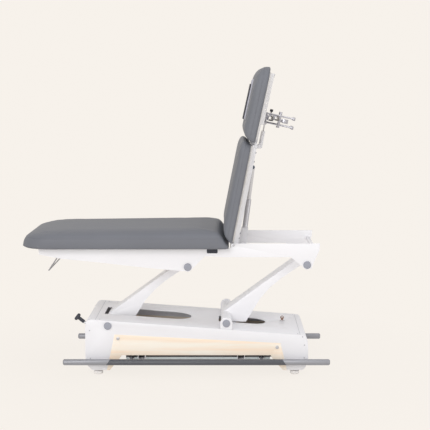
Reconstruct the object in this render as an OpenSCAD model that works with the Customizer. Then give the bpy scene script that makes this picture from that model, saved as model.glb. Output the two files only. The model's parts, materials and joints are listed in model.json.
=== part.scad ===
// Electric treatment table: a box base, two parallel lift arms and a three section cushioned top.
// Axes: X runs along the couch towards the head end, Y across it, and Z up from the floor.
// The origin is on the floor under the middle of the whole table, as it stands in the photograph.
// The far half repeats the near half, mirrored in Y, unless a module says otherwise.

/* [Top] */
// Half the width of the couch
couch_half_w = 340; // [325:1:380]
// Length of the leg cushion
leg_pad_len = 1084; // [1060:1:1090]
// Thickness of the leg cushion
leg_pad_t = 97; // [88:1:100]
// Length of the back cushion
back_pad_len = 543; // [536:1:545]
// Thickness of the back cushion
back_pad_t = 57.5; // [52:0.5:64]
// Length of the head cushion
head_pad_len = 405; // [395:1:430]
// Thickness of the head cushion
head_pad_t = 67; // [60:1:72]
// Slope of the back section above flat, in degrees
back_tilt = 79; // [70:1:79]
// Angle that the head section leans back from the line of the back, in degrees
head_lean = 1.2; // [0:0.1:5]

/* [Lift] */
// Distance between the two pivots of a lift arm
arm_len = 524.7; // [515:0.1:535]
// Slope of the lift arms, in degrees
arm_tilt = 36.57; // [30:0.01:44]
// Half the width of a lift arm
arm_half_w = 70; // [60:1:70]
// Radius of the tube that each arm turns on
hub_r = 27.5; // [26:0.5:28]
// Radius of every pivot axle
axle_r = 8; // [7:0.5:9]

/* [Base] */
// Length of the base box
base_len = 1173; // [1165:1:1200]
// Half the width of the base box
base_half_w = 268; // [266:1:280]
// Height of the base box at its foot end, above its open underside
base_h = 271; // [268:1:280]
// Gap between the floor and the base box
base_gap = 25; // [22:1:30]
// Thickness of the side panels and of the top frame plates
plate_t = 6; // [4:0.5:7]
// Radius of a levelling foot
foot_r = 24; // [18:1:28]
// Radius of a foot bar
bar_r = 16; // [12:1:17]
// Length of a foot bar
bar_len = 1397; // [1300:1:1420]

/* [Hidden] */

// Run past a face by every cut
over = 1;
// Gap between a turning piece and its axle
run_fit = 0.05;
// Gap between a piece that slides or swings and its neighbour
side_fit = 1;
// Gap between a cushion and the board let into its underside
soft_fit = 0.3;
// Facets of a round piece, and of a small one
$fn = 48;
small_fn = 24;

// Four places fix the lift: the lower and the upper pivot of each arm
front_x = -360;
front_z = 262;
rear_x = 263;
rear_z = 273.5;
arm_dx = arm_len * cos(arm_tilt);
arm_dz = arm_len * sin(arm_tilt);
front_pivot = [front_x, 0, front_z];
rear_pivot = [rear_x, 0, rear_z];
front_top = [front_x + arm_dx, 0, front_z + arm_dz];
rear_top = [rear_x + arm_dx, 0, rear_z + arm_dz];

// Base box, seen from the side: shares of its length and of its height, from its lower foot corner
base_x = -479;
base_foot_shares = [[0.029, 0], [0.0068, 0.103], [0, 0.24], [0, 0.849], [0.0034, 0.952], [0.0128, 0.985],
    [0.0264, 1]];
base_head_shares = [[0.9727, 0.697], [0.9804, 0.69], [0.988, 0.672], [0.9966, 0.59], [1, 0.424],
    [1, 0.221], [0.9889, 0.063], [0.9753, 0]];
base_shares = concat(base_foot_shares, base_head_shares);
// Where the top cover meets the end covers, and the thickness of these sheets
foot_seam_share = 0.0452;
head_seam_share = 0.9633;
cover_t = 4;
foot_seam = base_x + foot_seam_share * base_len;
head_seam = base_x + head_seam_share * base_len;
panel_y = base_half_w - plate_t;
// Slope of the top cover, from the two ends of its straight line
lid_a = base_foot_shares[6];
lid_b = base_head_shares[0];
lid_slope = (lid_b[1] - lid_a[1]) * base_h / ((lid_b[0] - lid_a[0]) * base_len);

// Openings in the top cover for the two arms: foot end, head end and half width of each
front_slot = [-395, 72, 95];
rear_slot = [222, 478, 75];
// Slits beside them for the brackets that stand up through the cover
slit_gap = 3;
switch_slit = [566, -100];
switch_slit_len = 36;
switch_slit_w = 6;

// Wood insert: its corners as shares of the base length and height, notched below for the foot bar
wood_shares = [[0.0955, 0], [0.1313, 0.705], [0.8755, 0.535], [0.9054, 0], [0.8875, 0], [0.8713, 0.0775],
    [0.8414, 0.2214], [0.8312, 0.2952], [0.1628, 0.2952], [0.1509, 0.2214], [0.1253, 0.0849], [0.1091, 0]];
wood_screw_shares = [[0.1466, 0.627], [0.8602, 0.454]];
wood_screw_r = 9;
wood_screw_t = 3;
cover_screw_r = 3.5;
cover_screw_t = 1.5;

// Chassis tubes: the long rails lie behind the wood inserts, the posts stand over the feet
rail_gap = 20;
rail_w = 38;
rail_out = base_half_w - rail_gap;
rail_in = rail_out - rail_w;
rail_z = 112;
rail_h = 50;
tube_wall = 3;
foot_post_x = -440;
head_post_x = 600;
post_len = 50;
foot_post_h = 215;
head_post_h = 150;
foot_tie_x = -470;
foot_tie_z = 92;
tie_len = 28;
tie_h = 44;
head_tie_z = 72;
bearing_half_len = 22;
// Radius of the front arm's tube inside the base, under the top cover
front_tube_r = 22;

// Rear brackets, their round tops and the bearing bores
bracket_t = 12;
bracket_r = 32;
cap_r = 20;
cap_t = 7;
cap_edge = 2;
axle_grip = 34;

// Helpers shared by all pieces
module side_sheet(y0, y1) {
    translate([0, y1, 0]) rotate([90, 0, 0]) linear_extrude(y1 - y0) children();
}

module cross_rod(r, y0, y1, at = [0, 0, 0], facets = $fn) {
    translate(at + [0, y0, 0]) rotate([-90, 0, 0]) cylinder(h = y1 - y0, r = r, $fn = facets);
}

module long_rod(r, x0, x1, at = [0, 0, 0], facets = $fn) {
    translate(at + [x0, 0, 0]) rotate([0, 90, 0]) cylinder(h = x1 - x0, r = r, $fn = facets);
}

module block(x, y, z) {
    translate([x[0], y[0], z[0]]) cube([x[1] - x[0], y[1] - y[0], z[1] - z[0]]);
}

module tube_along_x(x, y, z, wall = tube_wall) {
    difference() {
        block(x, y, z);
        block([x[0] - over, x[1] + over], [y[0] + wall, y[1] - wall], [z[0] + wall, z[1] - wall]);
    }
}

module tube_along_y(x, y, z, wall = tube_wall) {
    difference() {
        block(x, y, z);
        block([x[0] + wall, x[1] - wall], [y[0] - over, y[1] + over], [z[0] + wall, z[1] - wall]);
    }
}

module far_and_near() {
    children();
    mirror([0, 1, 0]) children();
}

// A point of the base outline, drawn in by an inset
function base_point(share, inset = 0) = [
    base_x + inset + share[0] * (base_len - 2 * inset),
    base_gap + inset + share[1] * (base_h - 2 * inset)
];
function base_points(shares, inset = 0) = [for (share = shares) base_point(share, inset)];
// Height of the upper face of the top cover
function lid_z(x) = base_point(lid_a)[1] + (x - base_point(lid_a)[0]) * lid_slope;

module base_side(inset = 0) {
    polygon(base_points(base_shares, inset));
}

module base_shell_ring() {
    difference() {
        base_side();
        base_side(cover_t);
    }
}

// Chassis: welded square tube, with lift bearings, foot bar pins and an actuator bracket
lift_anchor = [-130, 0, 100];
anchor_ear = [22, 30];
anchor_ear_r = 22;
lift_pin_r = 7;
mid_tie_x = -205;
rear_tie_x = 320;
mid_tie_len = 40;
mid_tie_z = 72;
mid_tie_h = 40;
lever_x = [-240, 450];
lever_w = 12;
lever_h = 18;
lever_z = 77;
lever_gap = 10;
lever_y = rail_in - lever_gap;
lever_pin_r = 6;
ear_t = 6;
ear_half_h = 13;
ear_reach = [12, 16];
ear_y = [lever_y - ear_reach[0], lever_y + ear_reach[1]];
castor_shaft = [-380, 0, 150];
castor_shaft_r = 10;
castor_shaft_grip = 20;
foot_stud_r = 6;
foot_stud_len = 40;
foot_inset = 32;
foot_y = base_half_w - foot_inset;
foot_post_mid = foot_post_x + post_len / 2;
head_post_mid = head_post_x + post_len / 2;
inner_rail_gap = 26;
inner_rail_t = 8;
inner_rail_y = [rail_in - inner_rail_gap - inner_rail_t, rail_in - inner_rail_gap];
inner_rail_z = [58, 120];
inner_rail_x = [-273, 496];
inner_rail_flange = 8;

module chassis() color("whitesmoke") difference() {
    union() {
        far_and_near() {
            tube_along_x([foot_post_x + post_len, head_post_x], [rail_in, rail_out], [rail_z, rail_z + rail_h]);
            block([foot_post_x, foot_post_x + post_len], [rail_in, rail_out], [base_gap, foot_post_h]);
            block([head_post_x, head_post_x + post_len], [rail_in, rail_out], [base_gap, head_post_h]);
            front_bearing();
            castor_bearing();
            for (x = lever_x)
                lever_ears(x);
            inner_rail();
            lift_anchor_ear();
        }
        tube_along_y([foot_tie_x, foot_tie_x + tie_len], [-rail_out, rail_out],
            [foot_tie_z, foot_tie_z + tie_h]);
        far_and_near()
            block([foot_tie_x + tie_len, foot_post_x + over], [rail_in, rail_out],
                [foot_tie_z, foot_tie_z + tie_h]);
        tube_along_y([head_post_x + post_len - tie_len, head_post_x + post_len], [-rail_in, rail_in],
            [head_tie_z, head_tie_z + tie_h]);
        for (x = [mid_tie_x, rear_tie_x])
            tube_along_y([x, x + mid_tie_len], [-rail_out, rail_out], [mid_tie_z, mid_tie_z + mid_tie_h]);
    }
    cross_rod(castor_shaft_r + run_fit, -rail_in - castor_shaft_grip, rail_in + castor_shaft_grip,
        castor_shaft);
    for (x = [foot_post_mid, head_post_mid], side = [-1, 1])
        translate([x, side * foot_y, base_gap - over])
            cylinder(h = foot_stud_len + over, r = foot_stud_r + run_fit, $fn = small_fn);
}

// Plate inside each side panel that carries a front axle stub
module front_bearing() {
    difference() {
        union() {
            block([front_x - bearing_half_len, front_x + bearing_half_len], [rail_out, panel_y],
                [rail_z, front_z]);
            cross_rod(bearing_half_len, rail_out + side_fit, panel_y, front_pivot);
            block([front_x - bearing_half_len, front_x + bearing_half_len], [rail_in, rail_out + over],
                [rail_z, rail_z + rail_h]);
        }
        cross_rod(axle_r, rail_out, panel_y + over, front_pivot);
        block([front_x - 2 * bearing_half_len, front_x + 2 * bearing_half_len],
            [rail_out - over, rail_out + side_fit], [front_z - hub_r - side_fit, front_z + 2 * hub_r]);
    }
}

// Solid stretch of rail that the castor shaft turns in
module castor_bearing() {
    block([castor_shaft[0] - 2 * castor_shaft_r, castor_shaft[0] + 2 * castor_shaft_r],
        [rail_in, rail_out], [rail_z, rail_z + rail_h]);
}

// Two ears under the rail with the pin of a foot bar lever between them
module lever_ears(x) {
    gap = lever_w / 2 + side_fit;
    for (side = [-1, 1])
        translate([side * (gap + ear_t / 2) - ear_t / 2, 0, 0])
            block([x, x + ear_t], ear_y, [lever_z - ear_half_h, rail_z + over]);
    long_rod(lever_pin_r, x - gap - over, x + gap + over, [0, lever_y, lever_z], small_fn);
}

// Long plate that shows behind the foot bar, hung from the rail by a flange along its top
module inner_rail() {
    block(inner_rail_x, inner_rail_y, inner_rail_z);
    block(inner_rail_x, [inner_rail_y[0], rail_in + over],
        [inner_rail_z[1] - inner_rail_flange, inner_rail_z[1]]);
}

// Ears and stub that carry the lower end of the lift actuator
module lift_anchor_ear() {
    side_sheet(anchor_ear[0], anchor_ear[1]) union() {
        translate([lift_anchor[0], lift_anchor[2]]) circle(anchor_ear_r);
        translate([mid_tie_x + mid_tie_len - over, mid_tie_z])
            square([lift_anchor[0] - mid_tie_x - mid_tie_len + over, mid_tie_h]);
    }
    cross_rod(lift_pin_r, -over, anchor_ear[0] + over, lift_anchor);
}

// Side panels: folded sheet around the wood insert
module side_panel() {
    side_sheet(panel_y, base_half_w) difference() {
        base_side();
        polygon(concat([base_point(wood_shares[0]) - [0, over]],
            base_points([for (k = [0 : 3]) wood_shares[k]]), [base_point(wood_shares[3]) - [0, over]]));
        translate([front_x, front_z]) circle(axle_r);
    }
}
module far_side_panel() color("white") side_panel();
module near_side_panel() color("white") mirror([0, 1, 0]) side_panel();

module wood_panel() {
    side_sheet(panel_y, base_half_w) difference() {
        polygon(base_points(wood_shares));
        for (share = wood_screw_shares)
            translate(base_point(share)) circle(wood_screw_r / 2);
    }
}
module far_wood_panel() color("burlywood") wood_panel();
module near_wood_panel() color("burlywood") mirror([0, 1, 0]) wood_panel();

module wood_screws() color("silver") far_and_near() for (share = wood_screw_shares) {
    at = base_point(share);
    cross_rod(wood_screw_r, base_half_w, base_half_w + wood_screw_t, [at[0], 0, at[1]], small_fn);
    cross_rod(wood_screw_r / 2, rail_out, base_half_w + over, [at[0], 0, at[1]], small_fn);
}

// Top cover: one sloping sheet with slots for the arms and slits for the rear brackets
module top_cover() color("gainsboro") difference() {
    side_sheet(-panel_y, panel_y) polygon([
        [foot_seam, lid_z(foot_seam)], [head_seam, lid_z(head_seam)],
        [head_seam, lid_z(head_seam) - cover_t], [foot_seam, lid_z(foot_seam) - cover_t]
    ]);
    for (slot = [front_slot, rear_slot])
        arm_slot(slot);
    far_and_near() block([rear_x - bracket_r - slit_gap, rear_x + bracket_r + slit_gap],
        [rail_out - slit_gap, panel_y + over], [base_gap, base_gap + base_h]);
    block([switch_slit[0] - switch_slit_len / 2, switch_slit[0] + switch_slit_len / 2],
        [switch_slit[1] - switch_slit_w / 2, switch_slit[1] + switch_slit_w / 2],
        [base_gap, base_gap + base_h]);
    translate([key_at[0], key_at[1], base_gap]) cylinder(h = base_h, r = key_barrel_r + slit_gap / 2);
}

module arm_slot(slot) {
    block([slot[0], slot[1] - slot[2]], [-slot[2], slot[2]], [base_gap, base_gap + base_h]);
    translate([slot[1] - slot[2], 0, base_gap]) cylinder(h = base_h, r = slot[2]);
}

// End covers: curved sheet from the top cover down to the open underside
pedal_slit = [-108, -92];
pedal_slit_z = [150, 268];
inlet_at = [0, 130, 110];
inlet_w = 48;
inlet_h = 30;
inlet_depth = 28;
inlet_lip = 4;

module foot_end_cover() color("whitesmoke") difference() {
    side_sheet(-panel_y, panel_y) intersection() {
        base_shell_ring();
        translate([base_x, base_gap]) square([foot_seam - base_x, base_h]);
    }
    block([base_x - over, foot_seam + over], pedal_slit, pedal_slit_z);
    far_and_near() block([crank_pin[0] - castor_r - 4 * side_fit, foot_seam + over],
        [crank_y[0] - castor_w - 4 * side_fit, rail_out + side_fit],
        [base_gap - over, crank_pin[2] + castor_r]);
}

module head_end_cover() color("whitesmoke") difference() {
    side_sheet(-panel_y, panel_y) intersection() {
        base_shell_ring();
        translate([head_seam, base_gap]) square([base_x + base_len - head_seam, base_h]);
    }
    block([head_seam, base_x + base_len + over], [inlet_at[1] - inlet_w / 2, inlet_at[1] + inlet_w / 2],
        [inlet_at[2] - inlet_h / 2, inlet_at[2] + inlet_h / 2]);
}

// Screws of the top cover: place along X, and height on the end cover where it isn't on the lid
lid_screw_x = [-405, 640];
lid_screw_inset = 23;
lid_screw_y = base_half_w - lid_screw_inset;
module cover_screws() color("silver") far_and_near() {
    for (x = lid_screw_x)
        translate([x, lid_screw_y, lid_z(x)]) rotate([0, -atan(lid_slope), 0])
            cylinder(h = cover_screw_t, r = cover_screw_r, $fn = small_fn);
    panel_screws();
}

// Small screws of the side panels, as shares of the base length and height
panel_screw_shares = [[0.02, 0.785], [0.022, 0.234], [0.974, 0.66], [0.983, 0.498], [0.982, 0.244]];
module panel_screws() {
    for (share = panel_screw_shares) {
        at = base_point(share);
        cross_rod(cover_screw_r, base_half_w, base_half_w + cover_screw_t, [at[0], 0, at[1]], small_fn);
    }
}

// Rear arm brackets: plates bolted to the rails that stand up through the top cover
module rear_arm_brackets() color("white") far_and_near() side_sheet(rail_out, rail_out + bracket_t)
    difference() {
        union() {
            translate([rear_x, rear_z]) circle(bracket_r);
            translate([rear_x - bracket_r, rail_z]) square([2 * bracket_r, rear_z - rail_z]);
        }
        translate([rear_x, rear_z]) circle(axle_r);
    }

// Axle stubs that the lower tubes of the arms turn on, and the grey caps over them
module base_axles() color("silver") far_and_near() {
    cross_rod(axle_r, rail_out - axle_grip, base_half_w, front_pivot);
    cross_rod(axle_r, rail_out - axle_grip, rail_out + bracket_t, rear_pivot);
}

module pivot_cap(at, y) {
    translate([at[0], y, at[2]]) rotate([-90, 0, 0]) rotate_extrude() polygon([
        [0, 0], [cap_r, 0], [cap_r, cap_t - cap_edge], [cap_r - cap_edge, cap_t], [0, cap_t]
    ]);
}
module base_pivot_caps() color("slategray") far_and_near() {
    pivot_cap(front_pivot, base_half_w);
    pivot_cap(rear_pivot, rail_out + bracket_t);
}

// Control box on the chassis at the head end, under the top cover
control_x = [482, 598];
control_z = [72, 168];
control_half_w = 150;
control_tab = 4;
module control_box() color("dimgray") {
    block(control_x, [-control_half_w, control_half_w], control_z);
    block([rear_tie_x + mid_tie_len / 2, head_post_x + post_len - tie_len / 2],
        [-control_half_w, control_half_w], [control_z[0] - control_tab, control_z[0]]);
}

// Mains inlet in the head end cover: a frame with three blades, for a cord that isn't shown
inlet_pin_gap = 12;
inlet_pin = [14, 2.4, 6];
module mains_inlet() color("dimgray") {
    face_x = base_x + base_len;
    difference() {
        union() {
            block([face_x - inlet_depth, face_x + inlet_lip / 2],
                [inlet_at[1] - inlet_w / 2, inlet_at[1] + inlet_w / 2],
                [inlet_at[2] - inlet_h / 2, inlet_at[2] + inlet_h / 2]);
            block([face_x, face_x + inlet_lip / 2],
                [inlet_at[1] - inlet_w / 2 - inlet_lip, inlet_at[1] + inlet_w / 2 + inlet_lip],
                [inlet_at[2] - inlet_h / 2 - inlet_lip, inlet_at[2] + inlet_h / 2 + inlet_lip]);
        }
        block([face_x - inlet_depth + inlet_lip, face_x + inlet_lip],
            [inlet_at[1] - inlet_w / 2 + inlet_lip, inlet_at[1] + inlet_w / 2 - inlet_lip],
            [inlet_at[2] - inlet_h / 2 + inlet_lip, inlet_at[2] + inlet_h / 2 - inlet_lip]);
    }
    for (side = [-1, 0, 1])
        translate([face_x - inlet_depth + inlet_lip - over,
            inlet_at[1] + side * inlet_pin_gap - inlet_pin[1] / 2, inlet_at[2] - inlet_pin[2] / 2])
            cube(inlet_pin + [over, 0, 0]);
}

// Key switch in the top cover, with a key that turns a quarter
key_at = [572, 60];
key_barrel_r = 11;
key_barrel_h = 34;
key_rim = 3;
key_rim_t = 2.5;
key_bore_r = 5;
key_bore_depth = 14;
key_bow_r = 10;
key_bow_t = 3;
key_bow_hole_r = 4;
key_top_z = lid_z(key_at[0]);
module key_switch() color("silver") translate([key_at[0], key_at[1], key_top_z]) difference() {
    union() {
        translate([0, 0, -key_barrel_h]) cylinder(h = key_barrel_h + key_rim_t, r = key_barrel_r);
        translate([0, 0, key_rim_t / 2]) cylinder(h = key_rim_t, r = key_barrel_r + key_rim);
    }
    translate([0, 0, key_rim_t - key_bore_depth])
        cylinder(h = key_bore_depth + 2 * key_rim_t, r = key_bore_r + run_fit);
}
module key() color("dimgray") translate([key_at[0], key_at[1], key_top_z + key_rim_t]) {
    translate([0, 0, side_fit - key_bore_depth]) cylinder(h = key_bore_depth + key_bow_r / 2, r = key_bore_r);
    translate([0, key_bow_t / 2, key_bow_r + key_bore_r]) rotate([90, 0, 0]) difference() {
        cylinder(h = key_bow_t, r = key_bow_r);
        translate([0, key_bow_r / 3, -over]) cylinder(h = key_bow_t + 2 * over, r = key_bow_hole_r);
    }
}

// Levelling feet: ribbed plastic foot on a threaded stud that screws into the post
foot_h = 18;
foot_neck_r = 11;
foot_ribs = 12;
foot_rib_r = 2.4;
foot_bevel = 3;
module levelling_foot(x, side) color("dimgray") translate([x, side * foot_y, 0]) {
    difference() {
        rotate_extrude() polygon([[0, 0], [foot_r - foot_bevel, 0], [foot_r, foot_bevel],
            [foot_r, foot_h - foot_bevel], [foot_r - foot_bevel, foot_h], [0, foot_h]]);
        for (k = [1 : foot_ribs])
            rotate(k * 360 / foot_ribs) translate([foot_r + foot_rib_r / 3, 0, -over])
                cylinder(h = foot_h + 2 * over, r = foot_rib_r, $fn = small_fn);
    }
    translate([0, 0, foot_h - over]) cylinder(h = base_gap - foot_h + over, r = foot_neck_r);
    translate([0, 0, foot_h]) cylinder(h = base_gap - foot_h + foot_stud_len - side_fit, r = foot_stud_r,
        $fn = small_fn);
}
module levelling_foot_1() levelling_foot(foot_post_mid, -1);
module levelling_foot_2() levelling_foot(foot_post_mid, 1);
module levelling_foot_3() levelling_foot(head_post_mid, -1);
module levelling_foot_4() levelling_foot(head_post_mid, 1);

// Foot bars: a long bar on each side, on two levers that rock on pins under the rail
bar_x = -592;
bar_reach = 37;
bar_y = base_half_w + bar_reach;
bar_end = 5;
lever_eye_r = 10;
sleeve_x = [-357, 568];
sleeve_t = 1.2;
sleeve_lean = 24;
module foot_bar() {
    difference() {
        translate([bar_x, bar_y, lever_z]) rotate([0, 90, 0]) rotate_extrude() polygon([
            [0, 0], [bar_r - bar_end, 0], [bar_r, bar_end], [bar_r, bar_len - bar_end],
            [bar_r - bar_end, bar_len], [0, bar_len]
        ]);
        sleeve_space(0);
    }
    for (x = lever_x)
        difference() {
            union() {
                block([x - lever_w / 2, x + lever_w / 2], [lever_y, bar_y],
                    [lever_z - lever_h / 2, lever_z + lever_h / 2]);
                long_rod(lever_eye_r, x - lever_w / 2, x + lever_w / 2, [0, lever_y, lever_z]);
            }
            long_rod(lever_pin_r + run_fit, x - lever_w, x + lever_w, [0, lever_y, lever_z], small_fn);
        }
}

// Space of the ribbed sleeve: a thin tube round the bar, with slanted ends, open for the levers
module sleeve_space(clear) {
    difference() {
        intersection() {
            long_rod(bar_r + over * (1 - clear), sleeve_x[0] - sleeve_lean, sleeve_x[1] + sleeve_lean,
                [0, bar_y, lever_z]);
            side_sheet(bar_y - 2 * bar_r, bar_y + 2 * bar_r) polygon([
                [sleeve_x[0] - sleeve_lean / 2, lever_z - bar_r - over],
                [sleeve_x[0] + sleeve_lean / 2, lever_z + bar_r + over],
                [sleeve_x[1] - sleeve_lean / 2, lever_z + bar_r + over],
                [sleeve_x[1] + sleeve_lean / 2, lever_z - bar_r - over]
            ]);
        }
        long_rod(bar_r - sleeve_t, bar_x, bar_x + bar_len, [0, bar_y, lever_z]);
        for (x = lever_x)
            block([x - lever_w / 2 - clear * side_fit, x + lever_w / 2 + clear * side_fit],
                [lever_y, bar_y], [lever_z - lever_h, lever_z + lever_h]);
    }
}
module far_foot_bar() color("silver") foot_bar();
module near_foot_bar() color("silver") mirror([0, 1, 0]) foot_bar();
module far_bar_sleeve() color("dimgray") sleeve_space(1);
module near_bar_sleeve() color("dimgray") mirror([0, 1, 0]) sleeve_space(1);

// Castor pedal: cross shaft with a rod and a T head at the foot end, and two cranks with castors
pedal_head = [-540, -100, 276];
pedal_rod_r = 6;
pedal_head_r = 20.5;
pedal_head_h = 18;
pedal_head_bore = 12;
pedal_neck_r = 9.5;
pedal_neck_len = 36;
pedal_bevel = 5;
crank_pin = [-425, 0, 31];
crank_gap = 18;
crank_t = 8;
crank_y = [rail_in - crank_gap - crank_t, rail_in - crank_gap];
crank_w = 22;
castor_r = 25;
castor_w = 22;
castor_axle_r = 4;
castor_bore_r = 9;
castor_bevel = 5;
pedal_dx = pedal_head[0] - castor_shaft[0];
pedal_dz = pedal_head[2] - castor_shaft[2];
pedal_len = norm([pedal_dx, pedal_dz]);
pedal_turn = atan2(pedal_dx, pedal_dz);
crank_dx = crank_pin[0] - castor_shaft[0];
crank_dz = crank_pin[2] - castor_shaft[2];
crank_len = norm([crank_dx, crank_dz]);

module castor_pedal() color("silver") {
    cross_rod(castor_shaft_r, -rail_in - castor_shaft_grip + side_fit, rail_in + castor_shaft_grip - side_fit,
        castor_shaft);
    translate([castor_shaft[0], pedal_head[1], castor_shaft[2]]) rotate([0, pedal_turn, 0]) {
        cylinder(h = pedal_len - pedal_head_h / 2 + pedal_head_bore, r = pedal_rod_r, $fn = small_fn);
    }
    far_and_near() {
        side_sheet(crank_y[0], crank_y[1]) {
            translate([castor_shaft[0], castor_shaft[2]]) circle(crank_w / 2 + castor_axle_r);
            translate([crank_pin[0], crank_pin[2]]) circle(crank_w / 2);
            translate([castor_shaft[0], castor_shaft[2]]) rotate(atan2(crank_dz, crank_dx))
                translate([0, -crank_w / 2]) square([crank_len, crank_w]);
        }
        cross_rod(castor_axle_r, crank_y[0] - castor_w - 3 * side_fit, crank_y[0] + over, crank_pin, small_fn);
        cross_rod(castor_bore_r, crank_y[0] - castor_w - 3 * side_fit, crank_y[0] - castor_w - 2 * side_fit,
            crank_pin, small_fn);
    }
}

// Rubber head of the pedal: a drum with a rounded crown, across the end of the rod
module castor_pedal_pad() color("dimgray")
    translate([castor_shaft[0], pedal_head[1], castor_shaft[2]]) rotate([0, pedal_turn, 0])
        translate([0, 0, pedal_len - pedal_head_h / 2]) difference() {
            rotate_extrude() polygon([
                [0, -pedal_neck_len], [pedal_neck_r, -pedal_neck_len], [pedal_neck_r, 0],
                [pedal_head_r - pedal_bevel, 0], [pedal_head_r, pedal_bevel],
                [pedal_head_r, pedal_head_h - pedal_bevel], [pedal_head_r - pedal_bevel, pedal_head_h],
                [0, pedal_head_h]
            ]);
            translate([0, 0, -pedal_neck_len - over])
                cylinder(h = pedal_neck_len + pedal_head_bore + over, r = pedal_rod_r, $fn = small_fn);
        }

module castor_wheel() {
    y = crank_y[0] - castor_w - side_fit;
    translate([crank_pin[0], y, crank_pin[2]]) rotate([-90, 0, 0]) rotate_extrude() polygon([
        [castor_axle_r + run_fit, 0], [castor_bore_r, 0], [castor_bore_r, castor_bevel / 2],
        [castor_r - castor_bevel, castor_bevel / 2], [castor_r, castor_bevel],
        [castor_r, castor_w - castor_bevel], [castor_r - castor_bevel, castor_w - castor_bevel / 2],
        [castor_bore_r, castor_w - castor_bevel / 2],
        [castor_bore_r, castor_w], [castor_axle_r + run_fit, castor_w]
    ]);
}
module far_castor_wheel() color("dimgray") castor_wheel();
module near_castor_wheel() color("dimgray") mirror([0, 1, 0]) castor_wheel();

// Lift arms: folded sheet, open below, between a lower torsion tube and an upper cross tube
arm_sheet = 4;
arm_top_share = [0.0544, 0.0457];
// Where the heel of the arm leaves the hub, as a share of the hub's radius
arm_heel_share = [-0.625, -0.78];
// Underside of an arm as distance from the lower pivot and depth, both shares of the arm length
arm_belly_shares = [[0.126, -0.168], [0.238, -0.122], [0.389, -0.059], [0.543, -0.027], [0.677, -0.019],
    [0.926, -0.027]];
top_tube_r = 25;
top_tube_gap = 13;
top_tube_half_w = base_half_w - top_tube_gap;
tube_sheet = 4;
end_plug = 24;
open_pivot_gap = 0.5;

// Side of an arm, drawn along its own length from the lower pivot; depth is the sheet left out
module arm_side(depth) {
    belly = [for (p = arm_belly_shares) p * arm_len];
    last = len(belly) - 1;
    polygon(concat(
        [[0, arm_top_share[0] * arm_len - depth]],
        [arm_heel_share * hub_r + [depth, 0], belly[0] + [depth, -depth]],
        [for (k = [1 : last]) belly[k] - [0, depth]],
        [[arm_len, belly[last][1] - depth], [arm_len, arm_top_share[1] * arm_len - depth]]
    ));
}

// An arm along its own axis; lower_r and lower_w are its torsion tube, top_gap the play of its upper axles
module lift_arm(lower_r, lower_w, top_gap) {
    difference() {
        union() {
            side_sheet(-arm_half_w, arm_half_w) {
                arm_side(0);
                circle(hub_r);
            }
            cross_rod(lower_r, -lower_w, lower_w);
            cross_rod(top_tube_r, -top_tube_half_w, top_tube_half_w, [arm_len, 0, 0]);
        }
        side_sheet(arm_sheet - arm_half_w, arm_half_w - arm_sheet) difference() {
            arm_side(arm_sheet);
            circle(hub_r);
            translate([arm_len, 0]) circle(top_tube_r);
        }
        cross_rod(lower_r - tube_sheet, end_plug - lower_w, lower_w - end_plug);
        cross_rod(top_tube_r - tube_sheet, end_plug - top_tube_half_w, top_tube_half_w - end_plug,
            [arm_len, 0, 0]);
        cross_rod(axle_r + run_fit, -lower_w - over, lower_w + over);
        cross_rod(axle_r + top_gap, -top_tube_half_w - over, top_tube_half_w + over, [arm_len, 0, 0]);
    }
}
module arm_place(pivot) {
    translate(pivot) rotate([0, -arm_tilt, 0]) children();
}
module front_arm() color("white") arm_place(front_pivot) lift_arm(front_tube_r, rail_out - side_fit, run_fit);

// The rear arm also has two lugs under its tube, which the lift actuator pushes between
lug_reach = 126.5;
lug_turn = -60;
lug_y = [22, 28];
lug_r = 18;
lug_root_r = 25;
lug_stud_r = 8;
lug_stud_y = 16;
lug_at = rear_pivot + lug_reach * [cos(lug_turn), 0, sin(lug_turn)];
module rear_arm() color("white") {
    arm_place(rear_pivot) lift_arm(hub_r, rail_out - side_fit, open_pivot_gap);
    far_and_near() {
        side_sheet(lug_y[0], lug_y[1]) difference() {
            translate([rear_x, rear_z]) rotate(lug_turn) {
                polygon([[0, -lug_root_r], [0, lug_root_r], [lug_reach, lug_r], [lug_reach, -lug_r]]);
                translate([lug_reach, 0]) circle(lug_r);
            }
            translate([rear_x, rear_z]) circle(hub_r - tube_sheet / 2);
        }
        cross_rod(lug_stud_r, lug_stud_y, lug_y[0] + over, lug_at);
    }
}

// Lift actuator: motor housing and outer tube on the chassis, and the rod that pushes the rear arm
lift_dx = lug_at[0] - lift_anchor[0];
lift_dz = lug_at[2] - lift_anchor[2];
lift_len = norm([lift_dx, lift_dz]);
lift_slope = atan2(lift_dz, lift_dx);
lift_eye_r = 20;
lift_eye_half_w = 14;
lift_housing = [26, 120];
lift_housing_half_w = 32;
lift_housing_half_h = 30;
lift_motor_r = 28;
lift_tube_r = 25;
lift_tube_end = 340;
lift_bore_start = 84;
lift_rod_r = 14;
lift_rod_start = 160;
module lift_place() {
    translate(lift_anchor) rotate([0, -lift_slope, 0]) children();
}
module lift_actuator_body() color("gainsboro") lift_place() difference() {
    union() {
        cross_rod(lift_eye_r, -lift_eye_half_w - over, lift_eye_half_w + over);
        block([0, lift_housing[0] + over], [-lift_eye_half_w, lift_eye_half_w], [-lift_eye_r, lift_eye_r]);
        block(lift_housing, [-lift_housing_half_w, lift_housing_half_w],
            [-lift_housing_half_h, lift_housing_half_h]);
        cross_rod(lift_motor_r, lift_housing_half_w - over,
            lift_housing_half_w + lift_housing[1] - lift_housing[0],
            [(lift_housing[0] + lift_housing[1]) / 2, 0, 0]);
        long_rod(lift_tube_r, lift_housing[1] - over, lift_tube_end);
    }
    cross_rod(lift_pin_r + run_fit, -lift_housing_half_w, lift_housing_half_w);
    long_rod(lift_rod_r + run_fit, lift_bore_start, lift_tube_end + over);
}
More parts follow.
